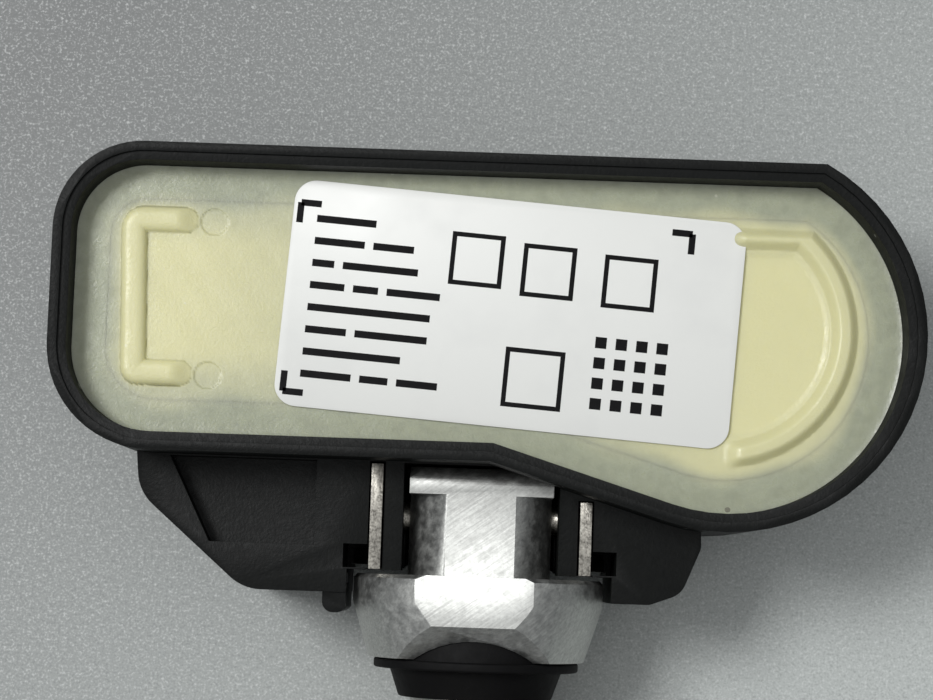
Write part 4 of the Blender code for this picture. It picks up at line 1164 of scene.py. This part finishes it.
@dataclass(frozen=True)
class LabelPrint:
    """Plain marks on the label: corner brackets, bars in rows, open squares and a block of dots."""

    middle: tuple[float, float] = (1.45 * MM, -0.2 * MM)
    turn: float = -3.9
    ink: float = 0.012 * MM
    stroke: float = 0.42 * MM
    bracket: float = 1.3 * MM
    bar_start: tuple[float, float] = (-12.9 * MM, 5.05 * MM)
    bar_height: float = 0.46 * MM
    row_step: float = 1.42 * MM
    bar_gap: float = 0.55 * MM
    outline: float = 0.3 * MM
    dot_start: tuple[float, float] = (5.5 * MM, -0.9 * MM)
    dot: float = 0.72 * MM
    dot_step: float = 1.3 * MM
    dots: int = 4

    def brackets(self) -> list[Box]:
        """Two strokes at each of three corners, which run right or left and up or down."""
        half = self.stroke / 2
        found: list[Box] = []
        for x, y, right, down in ((-14.0, 5.75, 1, -1), (-13.9, -6.35, 1, 1), (11.0, 6.25, -1, -1)):
            x, y = x * MM, y * MM
            end, foot = x + right * self.bracket, y + down * self.bracket
            found.append((min(x, end), y - half, max(x, end), y + half))
            found.append((x - half, min(y, foot), x + half, max(y, foot)))
        return found

    def rows(self) -> list[Box]:
        """Rows of bars, each row with its own lengths in millimetres."""
        lengths = (
            (3.8,),
            (3.2, 2.6),
            (1.4, 4.8),
            (2.2, 1.6, 3.4),
            (7.8,),
            (2.6, 4.6),
            (6.2,),
            (3.2, 1.8, 2.6),
        )
        found: list[Box] = []
        for row, bars in enumerate(lengths):
            x, top = self.bar_start[0], self.bar_start[1] - self.row_step * row
            for length in bars:
                found.append((x, top - self.bar_height, x + length * MM, top))
                x += length * MM + self.bar_gap
        return found

    def squares(self) -> list[Box]:
        """Four open squares, each as four strips; the upright ones stop at the level ones."""
        line = self.outline
        found: list[Box] = []
        for x, y, side in ((-4.2, 4.9, 3.4), (0.4, 4.6, 3.4), (5.6, 4.4, 3.4), (-0.1, -2.1, 3.8)):
            x, y, side = x * MM, y * MM, side * MM
            for low, high in ((0.0, line), (side - line, side)):
                found.append((x, y - high, x + side, y - low))
                found.append((x + low, y - side + line, x + high, y - line))
        return found

    def block(self) -> list[Box]:
        """A square block of equal dots."""
        found: list[Box] = []
        for row in range(self.dots):
            for column in range(self.dots):
                x = self.dot_start[0] + self.dot_step * column
                y = self.dot_start[1] - self.dot_step * row
                found.append((x, y - self.dot, x + self.dot, y))
        return found

    def build(self) -> bpy.types.Object:
        """All the marks as thin boxes of raised ink on the turned label.

        Returns:
            The piece.
        """
        boxes = np.array(self.brackets() + self.rows() + self.squares() + self.block())
        x0, y0, x1, y1 = boxes.T
        corners = [
            np.column_stack([x, y, np.full(len(boxes), z)])
            for z in (0.0, self.ink)
            for x, y in ((x0, y0), (x1, y0), (x1, y1), (x0, y1))
        ]
        points = np.stack(corners, 1).reshape(-1, 3)
        spot = Matrix.Translation((*self.middle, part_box("label")[1].z))
        place = np.array(spot @ Matrix.Rotation(radians(self.turn), 4, "Z"))
        points = points @ place[:3, :3].T + place[:3, 3]
        sides = np.array(
            [[0, 3, 2, 1], [4, 5, 6, 7], [0, 1, 5, 4], [1, 2, 6, 5], [2, 3, 7, 6], [3, 0, 4, 7]]
        )
        faces = (np.arange(len(boxes))[:, None, None] * 8 + sides).reshape(-1, 4)
        return mesh_piece("label_print", points, faces, smooth=False)


# Turned pieces on the stem


def turned_piece(
    name: str, corners: Sequence[tuple[float, float, float]], node: str, steps: int = 96
) -> bpy.types.Object:
    """A closed profile of (radius, distance, rounding) turned about the stem's axis.

    Args:
        name: the piece's name.
        corners: the profile's corners, in order round it.
        node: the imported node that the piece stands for.
        steps: points around.

    Returns:
        The piece.
    """
    rings = lathe_points(rounded_profile(corners), steps)
    faces = grid_faces(len(rings), steps, True, True)
    made = mesh_piece(name, rings.reshape(-1, 3), faces)
    made.data.set_sharp_from_angle(angle=radians(40))
    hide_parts(node)
    return made


def helix_rings(start: float, end: float, radius: float, depth: float, steps: int) -> Array:
    """Rings of a right-handed thread: at each distance s and turn a the radius falls by depth times
    the triangle wave of (s / pitch - a / full turn), and the last turn at either end fades out.

    Args:
        start: where the thread starts along the stem.
        end: where it ends.
        radius: the crests' radius.
        depth: the thread's depth.
        steps: points around.

    Returns:
        An (n, steps, 3) array of places.
    """
    reach = np.arange(start, end, THREAD_PITCH / 8)[:, None]
    angle = np.linspace(0, 2 * pi, steps, endpoint=False)[None, :]
    phase = (reach / THREAD_PITCH - angle / (2 * pi)) % 1.0
    wave = np.clip(np.abs(2 * phase - 1) * 1.35 - 0.12, 0, 1)
    fade = ease(np.minimum(reach - start, end - reach), 0.0, THREAD_PITCH)
    r = radius - depth * wave * fade
    x = r * np.cos(angle)
    z = STEM.axis_z + r * np.sin(angle)
    y = STEM.pivot_y - np.broadcast_to(reach, x.shape)
    return np.stack([x, y, z], -1)


@dataclass
class ValveStem:
    """The stem: a softened copy of its head and collar, and the threaded shank turned afresh."""

    cut_at: float = 12.3 * MM
    shank: float = 4.19 * MM
    nut_thread: float = 4.14 * MM
    cap_thread: float = 3.84 * MM
    thread_depth: float = 0.42 * MM
    cap_thread_length: float = 9.0 * MM
    bore: float = 2.64 * MM
    bore_depth: float = 8.4 * MM
    pieces: list[bpy.types.Object] = field(default_factory=list)

    def build(self) -> None:
        """Builds both pieces; their cut faces meet inside the nut's washer."""
        head = softened_copy("valve_stem", 0.09 * MM, segments=2, angle=25)
        shape = bmesh.new()
        shape.from_mesh(head.data)
        plane = Vector((0, STEM.pivot_y - self.cut_at, STEM.axis_z))
        cut = bmesh.ops.bisect_plane(
            shape,
            geom=shape.verts[:] + shape.edges[:] + shape.faces[:],
            plane_co=plane,
            plane_no=(0, -1, 0),
            clear_outer=True,
        )
        edges = [part for part in cut["geom_cut"] if isinstance(part, bmesh.types.BMEdge)]
        bmesh.ops.contextual_create(shape, geom=edges)
        shape.to_mesh(head.data)
        shape.free()
        self.pieces = [head, self.shank_piece()]

    def shank_piece(self) -> bpy.types.Object:
        """The plain neck, both threads, the tip and the bore's mouth as one closed lathe."""
        steps = 72
        tip = STEM.reach("valve_stem")[1]
        step = tip - self.cap_thread_length
        parts = [
            lathe_points(np.array([(AXIS_RADIUS, self.cut_at), (self.shank, self.cut_at)]), steps),
            helix_rings(self.cut_at + 0.5 * MM, step - 0.5 * MM, self.nut_thread, self.thread_depth, steps),
            lathe_points(np.array([(self.cap_thread - 0.4 * MM, step - 0.3 * MM)]), steps),
            helix_rings(step + 0.2 * MM, tip - 0.5 * MM, self.cap_thread, self.thread_depth, steps),
            lathe_points(
                np.array(
                    [
                        (self.cap_thread - 0.1 * MM, tip - 0.35 * MM),
                        (self.cap_thread - 0.4 * MM, tip),
                        (self.bore + 0.25 * MM, tip),
                        (self.bore, tip - 0.3 * MM),
                        (self.bore, tip - self.bore_depth),
                        (AXIS_RADIUS, tip - self.bore_depth),
                    ]
                ),
                steps,
            ),
        ]
        rings = np.concatenate(parts)
        faces = grid_faces(len(rings), steps, False, True).tolist()
        last = (len(rings) - 1) * steps
        faces += [list(range(steps)), list(range(last + steps - 1, last - 1, -1))]
        made = mesh_piece("stem_shank", rings.reshape(-1, 3), faces)
        made.data.set_sharp_from_angle(angle=radians(48))
        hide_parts("valve_stem")
        return made

    def dress(self) -> None:
        """Both pieces in aluminium, the shank with finer marks."""
        for piece, finish in zip(self.pieces, (STEM_METAL, THREAD_METAL)):
            finish.put_on(piece)
            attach(piece, "stem")


@dataclass
class RimSealAndNut:
    """What clamps the rim: the rubber seal, the washer and the flanged nut."""

    inside: float = 4.3 * MM
    bush_radius: float = 6.2 * MM
    flange_thickness: float = 0.58 * MM
    neck_length: float = 1.82 * MM
    neck_radius: float = 5.6 * MM
    tip_radius: float = 4.97 * MM
    pieces: dict[str, bpy.types.Object] = field(default_factory=dict)

    def build(self) -> None:
        """Turns the seal and the washer, and softens the nut."""
        start, end = STEM.reach("rim_seal")
        flange = STEM.radius("rim_seal")
        seat = end - self.neck_length
        back = seat - self.flange_thickness
        self.pieces["rim_seal_turned"] = turned_piece(
            "rim_seal_turned",
            [
                (self.inside, start, 0),
                (self.bush_radius, start, 0.15 * MM),
                (self.bush_radius, back, 0.05 * MM),
                (flange, back, 0.12 * MM),
                (flange, seat, 0.16 * MM),
                (self.neck_radius, seat, 0.12 * MM),
                (self.tip_radius, end, 0.14 * MM),
                (self.inside, end, 0),
            ],
            "rim_seal",
        )
        start, end = STEM.reach("washer")
        outside = STEM.radius("washer")
        self.pieces["washer_turned"] = turned_piece(
            "washer_turned",
            [
                (self.inside, start, 0.08 * MM),
                (outside, start, 0.15 * MM),
                (outside, end, 0.2 * MM),
                (self.inside, end, 0.1 * MM),
            ],
            "washer",
        )
        self.pieces["nut_soft"] = softened_copy("hex_nut", 0.14 * MM, segments=3)

    def dress(self) -> None:
        """Rubber on the seal, nickel on the rest, each on its own body."""
        RUBBER.put_on(self.pieces["rim_seal_turned"])
        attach(self.pieces["rim_seal_turned"], "stem")
        NICKEL.put_on(self.pieces["washer_turned"])
        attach(self.pieces["washer_turned"], "washer")
        NICKEL.put_on(self.pieces["nut_soft"])
        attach(self.pieces["nut_soft"], "nut")


@dataclass
class ValveCap:
    """The cap: a round shell with grip flutes that fade out towards its domed end."""

    flutes: int = 24
    flute_depth: float = 0.32 * MM
    inside: float = 3.97 * MM
    top: float = 1.2 * MM
    dome_radius: float = 1.3 * MM
    dome_height: float = 1.5 * MM
    piece: Optional[bpy.types.Object] = None

    def build(self) -> None:
        """Turns the shell and lowers each flute by a share of its depth that depends on the place."""
        start, end = STEM.reach("valve_cap")
        outside = STEM.radius("valve_cap")
        steps = self.flutes * 12
        skirt = np.linspace(start + 1.0 * MM, end - 1.6 * MM, 24)
        outer = [(outside - 0.25 * MM, start), (outside, start + 0.2 * MM), (outside, start + 0.8 * MM)]
        outer += [(outside, reach) for reach in skirt]
        for angle in np.linspace(0, pi / 2, 10)[1:]:
            radius = outside - self.dome_radius * (1 - cos(angle))
            outer.append((radius, end - self.dome_height * (1 - sin(angle))))
        outer += [(AXIS_RADIUS, end)]
        inner = [(AXIS_RADIUS, end - self.top), (self.inside, end - self.top), (self.inside, start)]
        profile = np.array(outer + inner)
        rings = lathe_points(profile, steps)
        turn = np.linspace(0, 2 * pi, steps, endpoint=False)[None, :]
        dip = (0.5 - 0.5 * np.cos(self.flutes * turn)) ** 1.5
        here = profile[:, 1][:, None]
        share = ease(here, start + 0.9 * MM, start + 1.6 * MM)
        share = share * (1 - ease(here, end - 2.4 * MM, end - 1.2 * MM))
        on_outside = (np.arange(len(profile)) < len(outer) - 1)[:, None]
        shrink = 1 - self.flute_depth * dip * share * on_outside / np.maximum(profile[:, 0][:, None], MM)
        rings[..., 0] *= shrink
        rings[..., 2] = STEM.axis_z + (rings[..., 2] - STEM.axis_z) * shrink
        faces = grid_faces(len(rings), steps, True, True)
        self.piece = mesh_piece("cap_fluted", rings.reshape(-1, 3), faces)
        self.piece.data.set_sharp_from_angle(angle=radians(50))
        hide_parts("valve_cap")

    def dress(self) -> None:
        """Black plastic, on the cap's body."""
        BLACK_PLASTIC.put_on(self.piece)
        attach(self.piece, "cap")


@dataclass
class PottedHousing:
    """The housing with the cover, the label and the stem's clip."""

    pieces: dict[str, bpy.types.Object] = field(default_factory=dict)

    def build(self) -> None:
        """Builds the housing's visible pieces."""
        self.pieces["housing"] = softened_copy("housing", 0.13 * MM, segments=2)
        self.pieces["clip"] = softened_copy("stem_clip", 0.07 * MM, segments=2)
        self.pieces["plate"] = cream_plate()
        self.pieces["potting"] = potting()
        self.pieces["label"] = softened_copy("label", 0.03 * MM, segments=2)
        self.pieces["print"] = LabelPrint().build()

    def dress(self) -> None:
        """Each piece in its finish, all on the housing's body."""
        finishes = {
            "housing": BLACK_PLASTIC,
            "clip": CLIP_STEEL,
            "plate": CREAM,
            "potting": RESIN,
            "label": FILM,
            "print": INK,
        }
        for name, piece in self.pieces.items():
            finishes[name].put_on(piece)
            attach(piece, "housing")


KEPT_NODES: dict[str, Finish] = {
    "cap_gasket": RUBBER,
    "core_plug": BRASS,
    "core_barrel": BRASS,
    "core_seal_ring": RUBBER,
    "core_spring": CLIP_STEEL,
    "core_pin": BRASS,
    "core_cup": RUBBER,
    "circuit_board": BOARD,
    "cell_can": NICKEL,
    "cell_cap": NICKEL,
    "cell_grommet": RUBBER,
    "positive_tab": NICKEL,
    "negative_tab": NICKEL,
    "sensor_chip": CHIP,
    "port_gasket": RUBBER,
    "port_filter": MEMBRANE,
    "lf_coil_core": FERRITE,
    "lf_coil_winding": COPPER,
    "antenna_loop": COPPER,
    "crystal": NICKEL,
    **{f"inductor_{number}": CHIP for number in (1, 2)},
    **{f"capacitor_{number}": CERAMIC for number in (1, 2, 3, 4)},
    **{f"resistor_{number}": CHIP for number in (1, 2, 3)},
}


def dress_kept_nodes() -> None:
    """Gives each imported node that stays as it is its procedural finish."""
    for node, finish in KEPT_NODES.items():
        piece = frame["nodes"][node]
        if not piece.material_slots:
            piece.data.materials.append(finish.material())
        for place in piece.material_slots:
            place.material = finish.material()


# Surroundings


def floor() -> None:
    """A pale grey sheet with a fine speckle under the object."""
    bpy.ops.mesh.primitive_plane_add(size=3.0, location=(0, 0, -0.02 * MM))
    sheet = bpy.context.object
    sheet.name = "floor"
    sheet.data.materials.append(SHEET.material())


def area_light(name: str, place: Vector, target: Vector, size: float, watts: float) -> None:
    """A square soft light that faces a target.

    Args:
        name: its name.
        place: where it stands.
        target: what it faces.
        size: its side.
        watts: its power.
    """
    data = bpy.data.lights.new(name, "AREA")
    data.shape = "SQUARE"
    data.size = size
    data.energy = watts
    lamp = bpy.data.objects.new(name, data)
    lamp.location = place
    lamp.rotation_euler = (target - place).to_track_quat("-Z", "Y").to_euler()
    bpy.context.scene.collection.objects.link(lamp)


def lights() -> None:
    """A soft key from the upper left, a wide soft light overhead and a dim even sky."""
    middle = Vector((0, 0, 0.01))
    area_light("key", Vector((-0.27, 0.12, 0.50)), middle, size=0.17, watts=2.0)
    area_light("overhead", Vector((0.0, 0.0, 0.60)), middle, size=0.9, watts=1.6)
    world = bpy.data.worlds.new("sky")
    world.use_nodes = True
    sky = world.node_tree.nodes["Background"]
    sky.inputs["Color"].default_value = (0.92, 0.96, 1.0, 1.0)
    sky.inputs["Strength"].default_value = 0.16
    bpy.context.scene.world = world
    bpy.context.scene.view_settings.view_transform = "Standard"


def camera() -> None:
    """A camera over the object, level with its top, turned by one degree."""
    data = bpy.data.cameras.new("camera")
    data.sensor_width = 36.0
    data.lens = 93.145
    data.clip_start = 0.005
    data.clip_end = 10.0
    data.dof.use_dof = False
    made = bpy.data.objects.new("camera", data)
    place = Vector((-1.05 * MM, -16.8 * MM, 167 * MM))
    target = Vector((-1.29 * MM, -2.82 * MM, 17 * MM))
    facing = (target - place).to_track_quat("-Z", "Y").to_matrix().to_4x4()
    made.matrix_world = Matrix.Translation(place) @ facing @ Matrix.Rotation(radians(1.0), 4, "Z")
    bpy.context.scene.collection.objects.link(made)
    bpy.context.scene.camera = made


def main() -> None:
    """Builds every piece and dresses it, noting each assembly by name as it starts."""
    logging.basicConfig(level=logging.INFO)
    for assembly in (PottedHousing(), ValveStem(), RimSealAndNut(), ValveCap()):
        LOG.info("building %s", type(assembly).__name__)
        assembly.build()
        assembly.dress()
    dress_kept_nodes()
    floor()
    lights()
    camera()


if __name__ == "__main__":
    main()
